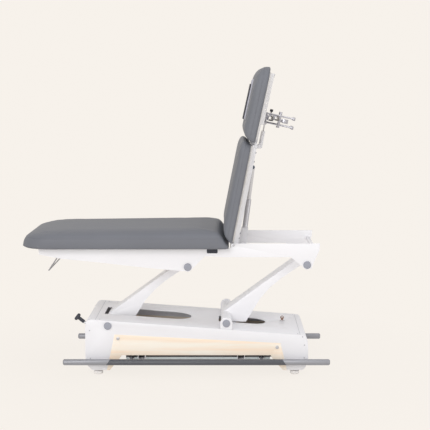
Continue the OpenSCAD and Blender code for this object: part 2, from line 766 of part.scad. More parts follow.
module lift_actuator_rod() color("silver") lift_place() difference() {
    union() {
        long_rod(lift_rod_r, lift_rod_start, lift_len - lift_eye_r / 2);
        cross_rod(lift_eye_r, -lift_eye_half_w, lift_eye_half_w, [lift_len, 0, 0]);
    }
    cross_rod(lug_stud_r + side_fit, -lift_eye_half_w - over, lift_eye_half_w + over, [lift_len, 0, 0]);
}

// Top frame plates: long folded sheets that carry the leg board, seen from the side
frame_x = -716;
frame_end_x = 751;
frame_z = 552;
frame_h = 124;
frame_w = frame_end_x - frame_x;
pivot_ear_r = 24;
// Underside and step as shares of the plate's length and height
frame_shares = [[0, 0.952], [0.0014, 0.718], [0.0757, 0.548], [0.2181, 0.379], [0.36, 0.185], [0.4492, 0.081],
    [0.5125, 0.01], [0.5412, 0.057], [0.5917, 0.653], [0.6626, 0.605], [0.8971, 0.605], [0.9291, 0.274],
    [0.97, 0.1], [0.9789, 0.403], [0.998, 0.911], [1, 1.185], [0.6837, 1.185], [0.6837, 1], [0.0014, 1]];
module frame_plate() side_sheet(panel_y, base_half_w) difference() {
    union() {
        polygon([for (share = frame_shares) [frame_x + share[0] * frame_w, frame_z + share[1] * frame_h]]);
        for (pivot = [front_top, rear_top])
            translate([pivot[0], pivot[2]]) circle(pivot_ear_r);
    }
    for (pivot = [front_top, rear_top])
        translate([pivot[0], pivot[2]]) circle(axle_r);
    translate([back_hinge[0], back_hinge[2]]) circle(hinge_pin_r, $fn = small_fn);
}
module far_frame_plate() color("white") frame_plate();
module near_frame_plate() color("white") mirror([0, 1, 0]) frame_plate();

// Cross members of the top frame; the one at the head end is the stop that the back frame lies on
member_h = 24;
member_w = 40;
member_top = frame_z + frame_h;
member_x = [-694, -300, 168];
stop_at = [727, 0, 655.5];
stop_r = 11;
bracket_member_x = [285, 315];
bracket_member_z = [632, 660];
back_foot = [352, 0, 655];
back_ear_y = [32, 38];
back_ear_r = 17;
back_stud_r = 7;
module frame_cross_members() color("white") {
    for (x = member_x)
        tube_along_y([x, x + member_w], [-panel_y, panel_y], [member_top - member_h, member_top]);
    cross_rod(stop_r, -panel_y, panel_y, stop_at);
    tube_along_y(bracket_member_x, [-panel_y, panel_y], bracket_member_z);
    far_and_near() {
        side_sheet(back_ear_y[0], back_ear_y[1]) {
            translate([back_foot[0], back_foot[2]]) circle(back_ear_r);
            translate([bracket_member_x[1] - over, back_foot[2] - back_ear_r])
                square([back_foot[0] - bracket_member_x[1] + over,
                    back_ear_r + bracket_member_z[1] - back_foot[2]]);
        }
        cross_rod(back_stud_r, back_ear_y[0] - side_fit, back_ear_y[0] + over, back_foot, small_fn);
    }
}

// Axle stubs in the frame plates that the upper tubes of the arms turn on, and their caps
module top_axles() color("silver") far_and_near() for (pivot = [front_top, rear_top])
    cross_rod(axle_r, top_tube_half_w - end_plug, base_half_w, pivot);
module top_pivot_caps() color("slategray") far_and_near() for (pivot = [front_top, rear_top])
    pivot_cap(pivot, base_half_w);

// Leg board: plywood on the top frame, let into the underside of the leg cushion
leg_pad_x = -805;
leg_pad_z = member_top + soft_fit;
leg_board_z = [member_top, 689];
leg_board_x = [-712, 262];
module leg_board() color("burlywood") block(leg_board_x, [-base_half_w, base_half_w], leg_board_z);

// A cushion is a stack of rings; each row of its table holds the height of a ring and how far it is
// drawn in at the sides, at the low end and at the high end, all as shares of the thickness
corner_steps = 9;
function corner_arc(x, y, r, start) = [
    for (k = [0 : corner_steps]) let (a = start + 90 * k / corner_steps) [x + r * cos(a), y + r * sin(a)]
];
function cushion_ring(low, high, w, low_r, high_r) = concat(
    corner_arc(high - high_r, w - high_r, high_r, 0), corner_arc(low + low_r, w - low_r, low_r, 90),
    corner_arc(low + low_r, low_r - w, low_r, 180), corner_arc(high - high_r, high_r - w, high_r, 270));

module cushion(length, half_w, thick, table_shares, low_r, high_r, droop = 0, droop_start = 1) {
    rings = [for (row = table_shares) [for (p = cushion_ring(row[2] * thick, length - row[3] * thick,
        half_w - row[1] * thick, low_r * (1 - row[1] / 2), high_r * (1 - row[1] / 2)))
        [p[0], p[1], row[0] * (thick - droop * max(0, 1 - p[0] / droop_start))]]];
    count = len(rings[0]);
    top = len(rings) - 1;
    points = concat([for (ring = rings) each ring], [[length / 2, 0, 0], [length / 2, 0, thick]]);
    walls = [for (j = [0 : top - 1], k = [0 : count - 1])
        let (a = j * count + k, b = j * count + (k + 1) % count)
        each [[a, a + count, b + count], [a, b + count, b]]];
    caps = [for (k = [0 : count - 1]) let (n = (k + 1) % count, base = (top + 1) * count)
        each [[k, n, base], [top * count + n, top * count + k, base + 1]]];
    polyhedron(points, concat(walls, caps), convexity = 4);
}

// Leg cushion: rounded foot corners, crowned top that falls a little to the foot, slanted head end
leg_pad_shares = [[0, 0.1, 0.2, 0.03], [0.06, 0.03, 0.08, 0], [0.16, 0, 0, 0.05], [0.5, 0, 0, 0.258],
    [0.6, 0.01, 0.03, 0.31], [0.72, 0.05, 0.11, 0.39], [0.83, 0.15, 0.26, 0.475], [0.91, 0.3, 0.48, 0.55],
    [0.97, 0.58, 0.85, 0.72], [1, 1.3, 1.8, 1.34]];
leg_foot_r = 140;
leg_head_r = 26;
leg_droop = 13;
leg_droop_share = 0.53;
module leg_pad() color("gray") difference() {
    translate([leg_pad_x, 0, leg_pad_z])
        cushion(leg_pad_len, couch_half_w, leg_pad_t, leg_pad_shares, leg_foot_r, leg_head_r, leg_droop,
            leg_droop_share * leg_pad_len);
    block([leg_board_x[0] - soft_fit, leg_board_x[1] + soft_fit],
        [-base_half_w - soft_fit, base_half_w + soft_fit],
        [leg_pad_z - over, leg_board_z[1] + soft_fit]);
}

// Paper roll bail: bent wire under the foot end, welded to the inner faces of the frame plates
bail_top = [-619, 0, 626];
bail_low = [-667, 0, 555];
bail_gap = 28;
bail_half_w = base_half_w - bail_gap;
bail_wire_r = 3;
bail_cross_r = 3.5;
bail_dx = bail_low[0] - bail_top[0];
bail_dz = bail_low[2] - bail_top[2];
bail_len = norm([bail_dx, bail_dz]);
module paper_roll_bail() color("silver") {
    far_and_near() {
        cross_rod(bail_cross_r, bail_half_w - bail_cross_r, panel_y, bail_top, small_fn);
        translate(bail_top + [0, bail_half_w, 0]) rotate([0, atan2(bail_dx, bail_dz), 0])
            cylinder(h = bail_len, r = bail_wire_r, $fn = small_fn);
    }
    cross_rod(bail_cross_r, -bail_half_w - bail_cross_r, bail_half_w + bail_cross_r, bail_low, small_fn);
}

// Bare dark tag on the near frame plate, under the edge of the leg cushion
tag_x = [161, 217];
tag_z = [648, 675];
tag_t = 3;
tag_r = 5;
module blank_tag() color("dimgray") mirror([0, 1, 0]) side_sheet(base_half_w, base_half_w + tag_t) {
    translate([tag_x[0] + tag_r, tag_z[0]]) square([tag_x[1] - tag_x[0] - 2 * tag_r, tag_z[1] - tag_z[0]]);
    translate([tag_x[0], tag_z[0] + tag_r]) square([tag_x[1] - tag_x[0], tag_z[1] - tag_z[0] - 2 * tag_r]);
    for (x = [tag_x[0] + tag_r, tag_x[1] - tag_r], z = [tag_z[0] + tag_r, tag_z[1] - tag_r])
        translate([x, z]) circle(tag_r, $fn = small_fn);
}

// Back section, drawn flat along its own length from its hinge and then tilted
back_hinge = [300, 0, 689];
hinge_pin_r = 6;
knuckle_r = 9;
knuckle_gap = 8;
knuckle_len = 24;
knuckle_y = [base_half_w - knuckle_gap - knuckle_len, base_half_w - knuckle_gap];
module back_place() {
    translate(back_hinge) rotate([0, -back_tilt, 0]) children();
}
module back_hinge_pins() color("silver") far_and_near()
    cross_rod(hinge_pin_r, knuckle_y[0] - side_fit, base_half_w + side_fit, back_hinge, small_fn);

// Back frame: two side tubes, three cross tubes, ears for the actuator pin and knuckles for the head
back_tube_gap = 6;
back_tube_w = 34;
back_tube_y = [knuckle_y[0] - back_tube_gap - back_tube_w, knuckle_y[0] - back_tube_gap];
back_tube_t = [-22, 2];
back_tube_s = [-8, 530];
back_ties = [[-8, 20], [433, 458], [500, 524]];
back_pin = [402.3, 0, -30.8];
back_pin_r = 6;
back_pin_ear_y = [16, 22];
back_pin_ear_r = 11;
head_hinge = [536, 0, -14];
head_pin_r = 4.5;
head_knuckle_r = 7;
head_arm_y = [150, 170];
strut_eye_half_w = 9;
strut_foot = [519.6, 0, -47.7];
strut_pin_r = 4;
strut_link_y = [12, 18];
strut_link_r = 10;
module back_frame() color("white") back_place() {
    far_and_near() {
        difference() {
            union() {
                tube_along_x(back_tube_s, back_tube_y, back_tube_t);
                cross_rod(knuckle_r, back_tube_y[1] - over, knuckle_y[1]);
                block([0, knuckle_y[1] - back_tube_y[1]], [back_tube_y[1] - over, knuckle_y[0] + over],
                    [back_tube_t[0] / 3, back_tube_t[1]]);
            }
            cross_rod(hinge_pin_r + run_fit, knuckle_y[0] - 2 * side_fit, knuckle_y[1] + over,
                facets = small_fn);
        }
        side_sheet(back_pin_ear_y[0], back_pin_ear_y[1]) difference() {
            union() {
                translate([back_pin[0], back_pin[2]]) circle(back_pin_ear_r);
                polygon([[back_pin[0] - back_pin_ear_r, back_pin[2]],
                    [back_pin[0] + back_pin_ear_r, back_pin[2]],
                    [back_pin[0] + back_pin_ear_r, back_tube_t[0] + over],
                    [back_ties[1][0] + over, back_tube_t[0] + over], [back_ties[1][0] + over, back_tube_t[1]],
                    [back_pin[0] - back_pin_ear_r, back_tube_t[1]]]);
            }
            translate([back_pin[0], back_pin[2]]) circle(back_pin_r + run_fit);
        }
        cross_rod(head_pin_r, head_arm_y[0], back_tube_y[0] + over, head_hinge, small_fn);
        block([back_ties[2][0], head_hinge[0]], [back_tube_y[0], back_tube_y[1]],
            [head_hinge[2] - head_knuckle_r, head_hinge[2] + head_knuckle_r]);
        cross_rod(head_knuckle_r, back_tube_y[0], back_tube_y[1], head_hinge);
    }
    for (tie = back_ties)
        tube_along_y(tie, [-back_tube_y[0] - over, back_tube_y[0] + over], back_tube_t);
    strut_link();
}

// Links that carry the lower end of the locking strut, with its pin
module strut_link() {
    far_and_near() side_sheet(strut_link_y[0], strut_link_y[1]) {
        translate([strut_foot[0], strut_foot[2]]) circle(strut_link_r);
        polygon([[strut_foot[0] - strut_link_r, strut_foot[2]], [strut_foot[0] + strut_link_r, strut_foot[2]],
            [back_ties[2][1], back_tube_t[0] + over], [back_ties[2][0], back_tube_t[0] + over]]);
    }
    cross_rod(strut_pin_r, -strut_link_y[0] - over, strut_link_y[0] + over, strut_foot, small_fn);
}

// Back board and back cushion
back_board_s = [14, 524];
back_board_inset = 90;
back_board_half_w = couch_half_w - back_board_inset;
back_board_t = [2, 14];
back_pad_s = 9;
back_pad_low_t = 10.5;
back_corner_r = 24;
back_top_corner_r = 60;
module back_board() color("burlywood") back_place()
    block(back_board_s, [-back_board_half_w, back_board_half_w], back_board_t);
back_pad_shares = [[0, 0.16, 0.12, 0.4], [0.07, 0.04, 0.04, 0.34], [0.15, 0, 0, 0.28], [0.5, 0, 0.26, 0.05],
    [0.64, 0, 0.38, 0], [0.78, 0.06, 0.53, 0.05], [0.88, 0.15, 0.68, 0.16], [0.95, 0.32, 0.86, 0.34],
    [0.985, 0.65, 1.12, 0.7], [1, 1.6, 1.9, 1.6]];
module back_pad() color("gray") back_place() difference() {
    translate([back_pad_s, 0, back_pad_low_t])
        cushion(back_pad_len, couch_half_w, back_pad_t, back_pad_shares, back_corner_r, back_top_corner_r);
    board_recess(back_board_s, back_board_half_w, [back_pad_low_t - over, back_board_t[1]]);
}
module board_recess(s, half_w, t) {
    block([s[0] - soft_fit, s[1] + soft_fit], [-half_w - soft_fit, half_w + soft_fit],
        [t[0], t[1] + soft_fit]);
}

// Dark fasteners of the back: bolts of the board and the headed pin of the actuator
bolt_s = [35, 62, 445, 492];
bolt_r = 5;
bolt_t = 3;
back_pin_head_r = 9;
back_pin_head_t = 2;
module board_bolts() color("dimgray") back_place() {
    far_and_near() {
        for (s = bolt_s)
            translate([s, (back_tube_y[0] + back_tube_y[1]) / 2, back_tube_t[0] - bolt_t])
                cylinder(h = bolt_t, r = bolt_r, $fn = small_fn);
        cross_rod(back_pin_head_r, back_pin_ear_y[1], back_pin_ear_y[1] + back_pin_head_t, back_pin, small_fn);
    }
    cross_rod(back_pin_r, -back_pin_ear_y[1] - over, back_pin_ear_y[1] + over, back_pin, small_fn);
}

// Back actuator: its tube swings on the top frame's ears, its rod on the pin of the back frame
back_foot_s = (back_foot[0] - back_hinge[0]) * cos(back_tilt) + (back_foot[2] - back_hinge[2]) * sin(back_tilt);
back_foot_t = (back_foot[2] - back_hinge[2]) * cos(back_tilt) - (back_foot[0] - back_hinge[0]) * sin(back_tilt);
back_stroke_len = norm([back_pin[0] - back_foot_s, back_pin[2] - back_foot_t]);
back_axis_turn = atan2(back_pin[2] - back_foot_t, back_pin[0] - back_foot_s);
back_motor = [-12, 95];
back_motor_half_w = 30;
back_motor_half_t = 18;
back_outer_r = 14.5;
back_outer_end = 251;
back_rod_r = 11;
back_rod_start = 104;
back_rod_bore = 20;
back_eye_half_w = 14;
back_eye_r = 10;
module back_actuator_place() {
    back_place() translate([back_foot_s, 0, back_foot_t]) rotate([0, -back_axis_turn, 0]) children();
}
module back_actuator_tube() color("gainsboro") back_actuator_place() difference() {
    union() {
        block(back_motor, [-back_motor_half_w, back_motor_half_w], [-back_motor_half_t, back_motor_half_t]);
        long_rod(back_outer_r, back_motor[1] - over, back_outer_end);
    }
    long_rod(back_rod_r + run_fit, back_rod_bore, back_outer_end + over);
}
module back_actuator_rod() color("silver") back_actuator_place() difference() {
    union() {
        long_rod(back_rod_r, back_rod_start, back_stroke_len - back_eye_r / 2);
        cross_rod(back_eye_r, -back_eye_half_w, back_eye_half_w, [back_stroke_len, 0, 0]);
    }
    cross_rod(back_pin_r + run_fit, -back_eye_half_w - over, back_eye_half_w + over, [back_stroke_len, 0, 0],
        small_fn);
}

// Head frame: two bent side flats with knuckles, and two cross flats under the head board
head_flat_s = [640, 912];
head_flat_t = [-34, -10];
head_neck_t = [-21, -10];
head_tie_w = 26;
head_ties = [660, 876];
strut_head = [649.5, 0, -44.9];
strut_ear_y = [14, 20];
strut_stud_r = 6;
strut_stud_y = 11;
module head_place() {
    back_place() translate(head_hinge) rotate([0, head_lean, 0]) translate(-head_hinge) children();
}
module head_frame() color("white") head_place() {
    far_and_near() difference() {
        union() {
            block(head_flat_s, head_arm_y, head_flat_t);
            block([head_hinge[0], head_flat_s[0] + over], head_arm_y, head_neck_t);
            cross_rod(head_knuckle_r, head_arm_y[0], head_arm_y[1], head_hinge);
        }
        cross_rod(head_pin_r + run_fit, head_arm_y[0] - over, head_arm_y[1] + over, head_hinge, small_fn);
        for (s = head_hole_s)
            cross_rod(head_hole_r, head_arm_y[0] - over, head_arm_y[1] + over, [s, 0, head_hole_t], small_fn);
    }
    for (s = head_ties)
        block([s, s + head_tie_w], [-head_arm_y[0] - over, head_arm_y[0] + over],
            [head_flat_t[1] - plate_t, head_flat_t[1]]);
    strut_head_ears();
    handle_pins();
}
head_hole_s = [720, 754];
head_hole_t = -26;
head_hole_r = 4;

// Ears on the head frame beside the upper eye of the strut, with studs that point at it
module strut_head_ears() {
    far_and_near() {
        side_sheet(strut_ear_y[0], strut_ear_y[1]) {
            translate([strut_head[0], strut_head[2]]) circle(strut_link_r);
            translate([strut_head[0] - strut_link_r, strut_head[2]])
                square([2 * strut_link_r, head_flat_t[1] - strut_head[2] - over]);
            translate([strut_head[0], carrier_plate_t[1] + side_fit])
                square([head_ties[0] + plate_t - strut_head[0],
                    head_flat_t[1] - over - carrier_plate_t[1] - side_fit]);
        }
        cross_rod(strut_stud_r, strut_stud_y, strut_ear_y[0] + over, strut_head, small_fn);
    }
}

// Locking strut: a gas cylinder on the back frame's link, and its rod
strut_tube_r = 11;
strut_tube_end = 84;
strut_eye_r = 9;
strut_rod_r = 4;
strut_rod_start = 50;
strut_bore_start = 12;
strut_turned = head_hinge + [
    (strut_head[0] - head_hinge[0]) * cos(head_lean) + (strut_head[2] - head_hinge[2]) * sin(head_lean), 0,
    (strut_head[2] - head_hinge[2]) * cos(head_lean) - (strut_head[0] - head_hinge[0]) * sin(head_lean)];
strut_dx = strut_turned[0] - strut_foot[0];
strut_dz = strut_turned[2] - strut_foot[2];
strut_len = norm([strut_dx, strut_dz]);
module strut_place() {
    back_place() translate(strut_foot) rotate([0, -atan2(strut_dz, strut_dx), 0]) children();
}
module strut_tube() color("white") strut_place() difference() {
    union() {
        cross_rod(strut_tube_r, -strut_eye_half_w, strut_eye_half_w);
        long_rod(strut_tube_r, strut_tube_r / 2, strut_tube_end);
    }
    cross_rod(strut_pin_r + run_fit, -2 * strut_eye_half_w, 2 * strut_eye_half_w, facets = small_fn);
    long_rod(strut_rod_r + run_fit, strut_bore_start, strut_tube_end + over);
}
module strut_rod() color("silver") strut_place() {
    long_rod(strut_rod_r, strut_rod_start, strut_len - strut_eye_r / 2);
    difference() {
        cross_rod(strut_eye_r, -strut_eye_r / 2, strut_eye_r / 2, [strut_len, 0, 0]);
        cross_rod(strut_stud_r, -strut_eye_r, strut_eye_r, [strut_len, 0, 0], small_fn);
    }
}

// Head board and head cushion, with a hole for the face insert
head_board_s = [560, 915];
head_board_inset = 100;
head_board_half_w = couch_half_w - head_board_inset;
head_board_t = [-10, 3];
head_pad_s = 540;
head_pad_low_t = -5;
head_low_r = 24;
head_high_r = 110;
insert_s = [642, 866];
insert_half_w = 80;
insert_t = [4, 73];
insert_round = 16;
insert_steps = 8;
insert_cover_s = [646, 836];
insert_cover_half_w = 72;
insert_cover_t = 5;
head_pad_shares = [[0, 0.14, 0.08, 0.14], [0.06, 0.04, 0.05, 0.03], [0.15, 0, 0.02, 0], [0.32, 0, 0, 0.02],
    [0.6, 0, 0.2, 0.15], [0.75, 0.02, 0.29, 0.27], [0.86, 0.11, 0.38, 0.42], [0.94, 0.26, 0.5, 0.57],
    [0.985, 0.55, 0.75, 0.8], [1, 1.3, 1.4, 1.4]];
module head_board() color("burlywood") head_place()
    block(head_board_s, [-head_board_half_w, head_board_half_w], head_board_t);
module head_pad() color("gray") head_place() difference() {
    translate([head_pad_s, 0, head_pad_low_t])
        cushion(head_pad_len, couch_half_w, head_pad_t, head_pad_shares, head_low_r, head_high_r);
    board_recess(head_board_s, head_board_half_w, [head_pad_low_t - over, head_board_t[1]]);
    block([insert_s[0] - side_fit, insert_s[1] + side_fit],
        [-insert_half_w - side_fit, insert_half_w + side_fit],
        [head_board_t[1], head_pad_low_t + 2 * head_pad_t]);
}

// Face insert: a plug in the head cushion with a rounded shoulder and a thin dark plate on its front
module face_insert() color("lightgray") head_place() side_sheet(-insert_half_w, insert_half_w) polygon(concat(
    [[insert_s[0], insert_t[0]], [insert_s[1], insert_t[0]]],
    [for (k = [0 : insert_steps]) let (a = 90 * k / insert_steps)
        [insert_s[1] - insert_round * (1 - cos(a)), insert_t[1] - insert_round * (1 - sin(a))]],
    [[insert_s[0], insert_t[1]]]));
module face_insert_cover() color("dimgray") head_place()
    block(insert_cover_s, [-insert_cover_half_w, insert_cover_half_w],
        [insert_t[1], insert_t[1] + insert_cover_t]);

// Armrest carrier: two plates, a fixed socket and four rails with domed nuts, behind the head frame
carrier_s = [646, 712];
carrier_half_w = 60;
carrier_plate_t = [-28, -22];
carrier_bar_s = [663, 707];
carrier_bar_t = [-49, -43];
rail_s = [654, 702];
rail_y = 45;
rail_r = 4;
rail_end_t = -192;
nut_r = 9;
nut_t = 12;
socket_wall = 3;
socket_half_w = 130;
fixed_socket_s = [668, 692];
fixed_socket_t = [-80, -51];
clamp_t = -66;
clamp_s = [714, 728];
clamp_r = 8.5;
clamp_screw_r = 3;
clamp_boss_r = 6;
clamp_boss_s = 706;
post_r = 5;
module carrier_rails() {
    for (s = rail_s, side = [-1, 1]) translate([s, side * rail_y, 0]) {
        translate([0, 0, rail_end_t])
            cylinder(h = carrier_plate_t[0] - rail_end_t + over, r = rail_r, $fn = small_fn);
        translate([0, 0, rail_end_t - nut_t / 2]) cylinder(h = nut_t, r = nut_r, $fn = small_fn);
    }
}
module armrest_carrier() color("silver") head_place() difference() {
    union() {
        block(carrier_s, [-carrier_half_w, carrier_half_w], carrier_plate_t);
        for (side = [-1, 1])
            translate([head_ties[0] + head_tie_w / 2, side * rail_y, carrier_plate_t[1] - over])
                cylinder(h = head_flat_t[1] - plate_t - carrier_plate_t[1] + over, r = post_r, $fn = small_fn);
        block(carrier_bar_s, [-carrier_half_w, carrier_half_w], carrier_bar_t);
        carrier_rails();
        tube_along_y(fixed_socket_s, [-socket_half_w, socket_half_w], fixed_socket_t, socket_wall);
        block([fixed_socket_s[0] + socket_wall, fixed_socket_s[1] - socket_wall], [-rail_y, rail_y],
            [fixed_socket_t[1] - over, carrier_bar_t[0] + over]);
        long_rod(clamp_boss_r, fixed_socket_s[1] - over, clamp_boss_s, [0, 0, clamp_t], small_fn);
        for (side = [-1, 1])
            block(rail_s, [side * rail_y - rail_r / 2, side * rail_y + rail_r / 2], carrier_bar_t);
    }
    long_rod(clamp_screw_r + run_fit, fixed_socket_s[1] - 2 * socket_wall, clamp_s[1], [0, 0, clamp_t],
        small_fn);
    block([carrier_s[0] - over, strut_head[0] + strut_link_r + side_fit],
        [-strut_ear_y[1] - side_fit, strut_ear_y[1] + side_fit],
        [carrier_plate_t[0] - over, carrier_plate_t[1] + over]);
}

// Crossbar: the second socket, its clamp bar and block, which slide together along the rails
slide_socket_s = [676, 696];
slide_socket_t = [-112, -83];
clamp_bar_s = [644, 712];
clamp_bar_t = [-122, -112];
clamp_nut_s = 6;
slide_block_s = [668, 690];
slide_block_t = [-164, -134];
slide_block_half_w = 30;
module armrest_crossbar() color("lightgray") head_place() difference() {
    union() {
        tube_along_y(slide_socket_s, [-socket_half_w, socket_half_w], slide_socket_t, socket_wall);
        block(clamp_bar_s, [-carrier_half_w, carrier_half_w], clamp_bar_t);
        block(slide_block_s, [-slide_block_half_w, slide_block_half_w], slide_block_t);
        translate([(slide_block_s[0] + slide_block_s[1]) / 2, 0, slide_block_t[1] - over])
            cylinder(h = clamp_bar_t[0] - slide_block_t[1] + 2 * over, r = nut_r);
        long_rod(nut_r, clamp_bar_s[1] - over, clamp_bar_s[1] + nut_t,
            [0, 0, (clamp_bar_t[0] + clamp_bar_t[1]) / 2], small_fn);
        long_rod(nut_r, clamp_bar_s[0] - clamp_nut_s, clamp_bar_s[0] + over,
            [0, 0, (clamp_bar_t[0] + clamp_bar_t[1]) / 2], small_fn);
    }
    for (s = rail_s, side = [-1, 1])
        translate([s, side * rail_y, clamp_bar_t[0] - over])
            cylinder(h = clamp_bar_t[1] - clamp_bar_t[0] + 2 * over, r = rail_r + run_fit, $fn = small_fn);
}

// Dark knob whose screw clamps an armrest in the fixed socket
module clamp_knob() color("dimgray") head_place() {
    long_rod(clamp_r, clamp_s[0], clamp_s[1], [0, 0, clamp_t], small_fn);
    long_rod(clamp_screw_r, fixed_socket_s[1] - socket_wall, clamp_s[0] + over, [0, 0, clamp_t], small_fn);
}

// Release handle: a bail on two pins inside the head frame's flats
handle_pivot = [874, 0, -28];
handle_bar = [908, 0, -32];
handle_r = 5;
handle_arm_y = [140, 148];
handle_eye_r = 7;
handle_pin_r = 3.5;
handle_len = norm([handle_bar[0] - handle_pivot[0], handle_bar[2] - handle_pivot[2]]);
module release_handle() color("dimgray") head_place() {
    cross_rod(handle_r, -handle_arm_y[1], handle_arm_y[1], handle_bar, small_fn);
    far_and_near() side_sheet(handle_arm_y[0], handle_arm_y[1]) difference() {
        union() {
            translate([handle_pivot[0], handle_pivot[2]]) circle(handle_eye_r);
            translate([handle_pivot[0], handle_pivot[2]])
                rotate(atan2(handle_bar[2] - handle_pivot[2], handle_bar[0] - handle_pivot[0]))
                    translate([0, -handle_r]) square([handle_len, 2 * handle_r]);
        }
        translate([handle_pivot[0], handle_pivot[2]]) circle(handle_pin_r + run_fit, $fn = small_fn);
    }
}
module handle_pins() {
    far_and_near()
        cross_rod(handle_pin_r, handle_arm_y[0] - side_fit, head_arm_y[0] + over, handle_pivot, small_fn);
}

chassis();
near_side_panel();
far_side_panel();
top_cover();
foot_end_cover();
head_end_cover();
near_wood_panel();
far_wood_panel();
wood_screws();
cover_screws();
rear_arm_brackets();
base_axles();
base_pivot_caps();
control_box();
mains_inlet();
key_switch();
key();
levelling_foot_1();
levelling_foot_2();
levelling_foot_3();
levelling_foot_4();
near_foot_bar();
far_foot_bar();
near_bar_sleeve();
far_bar_sleeve();
castor_pedal();
castor_pedal_pad();
near_castor_wheel();
far_castor_wheel();
front_arm();
rear_arm();
lift_actuator_body();
lift_actuator_rod();
near_frame_plate();
far_frame_plate();
frame_cross_members();
top_axles();
top_pivot_caps();
leg_board();
leg_pad();
paper_roll_bail();
blank_tag();
back_hinge_pins();
back_frame();
back_board();
back_pad();
board_bolts();
back_actuator_tube();
back_actuator_rod();
head_frame();
head_board();
head_pad();
face_insert();
face_insert_cover();
armrest_carrier();
armrest_crossbar();
clamp_knob();
strut_tube();
strut_rod();
release_handle();
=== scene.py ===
"""Looks of an electric treatment table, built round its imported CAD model.

Lengths are in metres. X runs along the couch to the head end, and Z runs up.
"""

import json
import math

import bmesh
import bpy
from mathutils import Matrix, Vector


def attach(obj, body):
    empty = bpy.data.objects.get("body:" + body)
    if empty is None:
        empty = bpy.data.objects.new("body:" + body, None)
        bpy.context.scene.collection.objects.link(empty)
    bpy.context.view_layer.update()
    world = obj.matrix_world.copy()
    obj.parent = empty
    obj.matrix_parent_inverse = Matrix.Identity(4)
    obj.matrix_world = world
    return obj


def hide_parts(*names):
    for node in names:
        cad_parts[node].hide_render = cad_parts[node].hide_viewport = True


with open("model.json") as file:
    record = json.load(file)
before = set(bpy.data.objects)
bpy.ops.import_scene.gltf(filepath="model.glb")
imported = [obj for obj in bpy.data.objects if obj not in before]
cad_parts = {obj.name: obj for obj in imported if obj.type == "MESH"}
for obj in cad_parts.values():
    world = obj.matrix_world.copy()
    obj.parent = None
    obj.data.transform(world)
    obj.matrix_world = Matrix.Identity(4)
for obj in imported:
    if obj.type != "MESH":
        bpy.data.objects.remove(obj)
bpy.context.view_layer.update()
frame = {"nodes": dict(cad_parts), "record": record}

# Studio: a plain pale floor that keeps the shadow near the table and fades into an even backdrop
# further off, under soft lamps in front and above. The camera stands where the photograph was taken
# from, six metres off and 1.5 m high, and looks a little down.
CREAM = (0.930, 0.885, 0.830, 1.0)
SKY_COLOUR = (0.95, 0.96, 1.0, 1.0)
SKY_STRENGTH = 0.6
FLOOR_HALF = 30.0
FADE_FROM, FADE_TO = 0.7, 1.7
GLOW_NEAR, GLOW_FAR = 0.92, 1.0
FOCAL_LENGTH, SENSOR_WIDTH = 93.2, 36.0
PHOTO_WIDTH, PIXELS_ASIDE = 430, 10.5
FAR_CLIP = 200.0
CAMERA_PLACE = (0.2585, -6.005, 1.524)
LOOK_DOWN = 6.713


def worked(tree, operation, *values):
    """A sum in a node tree; each value is a number or the output of another node."""
    step = tree.nodes.new("ShaderNodeMath")
    step.operation = operation
    for socket, value in zip(step.inputs, values):
        if isinstance(value, bpy.types.NodeSocket):
            tree.links.new(value, socket)
        else:
            socket.default_value = value
    return step.outputs[0]


def lit_for_camera(tree, out, for_others, for_camera):
    """One shader for the camera and for what it sees in gloss or glass, another for all other rays."""
    path = tree.nodes.new("ShaderNodeLightPath")
    seen = worked(tree, "MAXIMUM", path.outputs["Is Camera Ray"], path.outputs["Is Glossy Ray"])
    pick = tree.nodes.new("ShaderNodeMixShader")
    tree.links.new(worked(tree, "MAXIMUM", seen, path.outputs["Is Transmission Ray"]), pick.inputs[0])
    tree.links.new(for_others, pick.inputs[1])
    tree.links.new(for_camera, pick.inputs[2])
    tree.links.new(pick.outputs[0], out)


world = bpy.data.worlds.new("studio")
bpy.context.scene.world = world
world.use_nodes = True
sky = world.node_tree
sky.nodes.clear()
air = sky.nodes.new("ShaderNodeBackground")
air.inputs["Color"].default_value = SKY_COLOUR
air.inputs["Strength"].default_value = SKY_STRENGTH
backdrop = sky.nodes.new("ShaderNodeBackground")
backdrop.inputs["Color"].default_value = CREAM
lit_for_camera(sky, sky.nodes.new("ShaderNodeOutputWorld").inputs["Surface"],
               air.outputs[0], backdrop.outputs[0])

ground = bmesh.new()
bmesh.ops.create_grid(ground, x_segments=1, y_segments=1, size=FLOOR_HALF)
floor_mesh = bpy.data.meshes.new("floor")
ground.to_mesh(floor_mesh)
ground.free()
floor = bpy.data.objects.new("floor", floor_mesh)
bpy.context.scene.collection.objects.link(floor)
floor_paint = bpy.data.materials.new("floor_paint")
floor_paint.use_nodes = True
tree = floor_paint.node_tree
tree.nodes.clear()
shaded = tree.nodes.new("ShaderNodeBsdfDiffuse")
shaded.inputs["Color"].default_value = CREAM
glow = tree.nodes.new("ShaderNodeEmission")
glow.inputs["Color"].default_value = CREAM
even = tree.nodes.new("ShaderNodeMixShader")
spot = tree.nodes.new("ShaderNodeTexCoord")
reach = tree.nodes.new("ShaderNodeVectorMath")
reach.operation = "LENGTH"
tree.links.new(spot.outputs["Object"], reach.inputs[0])
fade = tree.nodes.new("ShaderNodeMapRange")
fade.inputs["From Min"].default_value = FADE_FROM
fade.inputs["From Max"].default_value = FADE_TO
fade.inputs["To Min"].default_value = GLOW_NEAR
fade.inputs["To Max"].default_value = GLOW_FAR
tree.links.new(reach.outputs["Value"], fade.inputs["Value"])
tree.links.new(fade.outputs[0], even.inputs[0])
tree.links.new(shaded.outputs[0], even.inputs[1])
tree.links.new(glow.outputs[0], even.inputs[2])
lit_for_camera(tree, tree.nodes.new("ShaderNodeOutputMaterial").inputs["Surface"],
               shaded.outputs[0], even.outputs[0])
floor_mesh.materials.append(floor_paint)

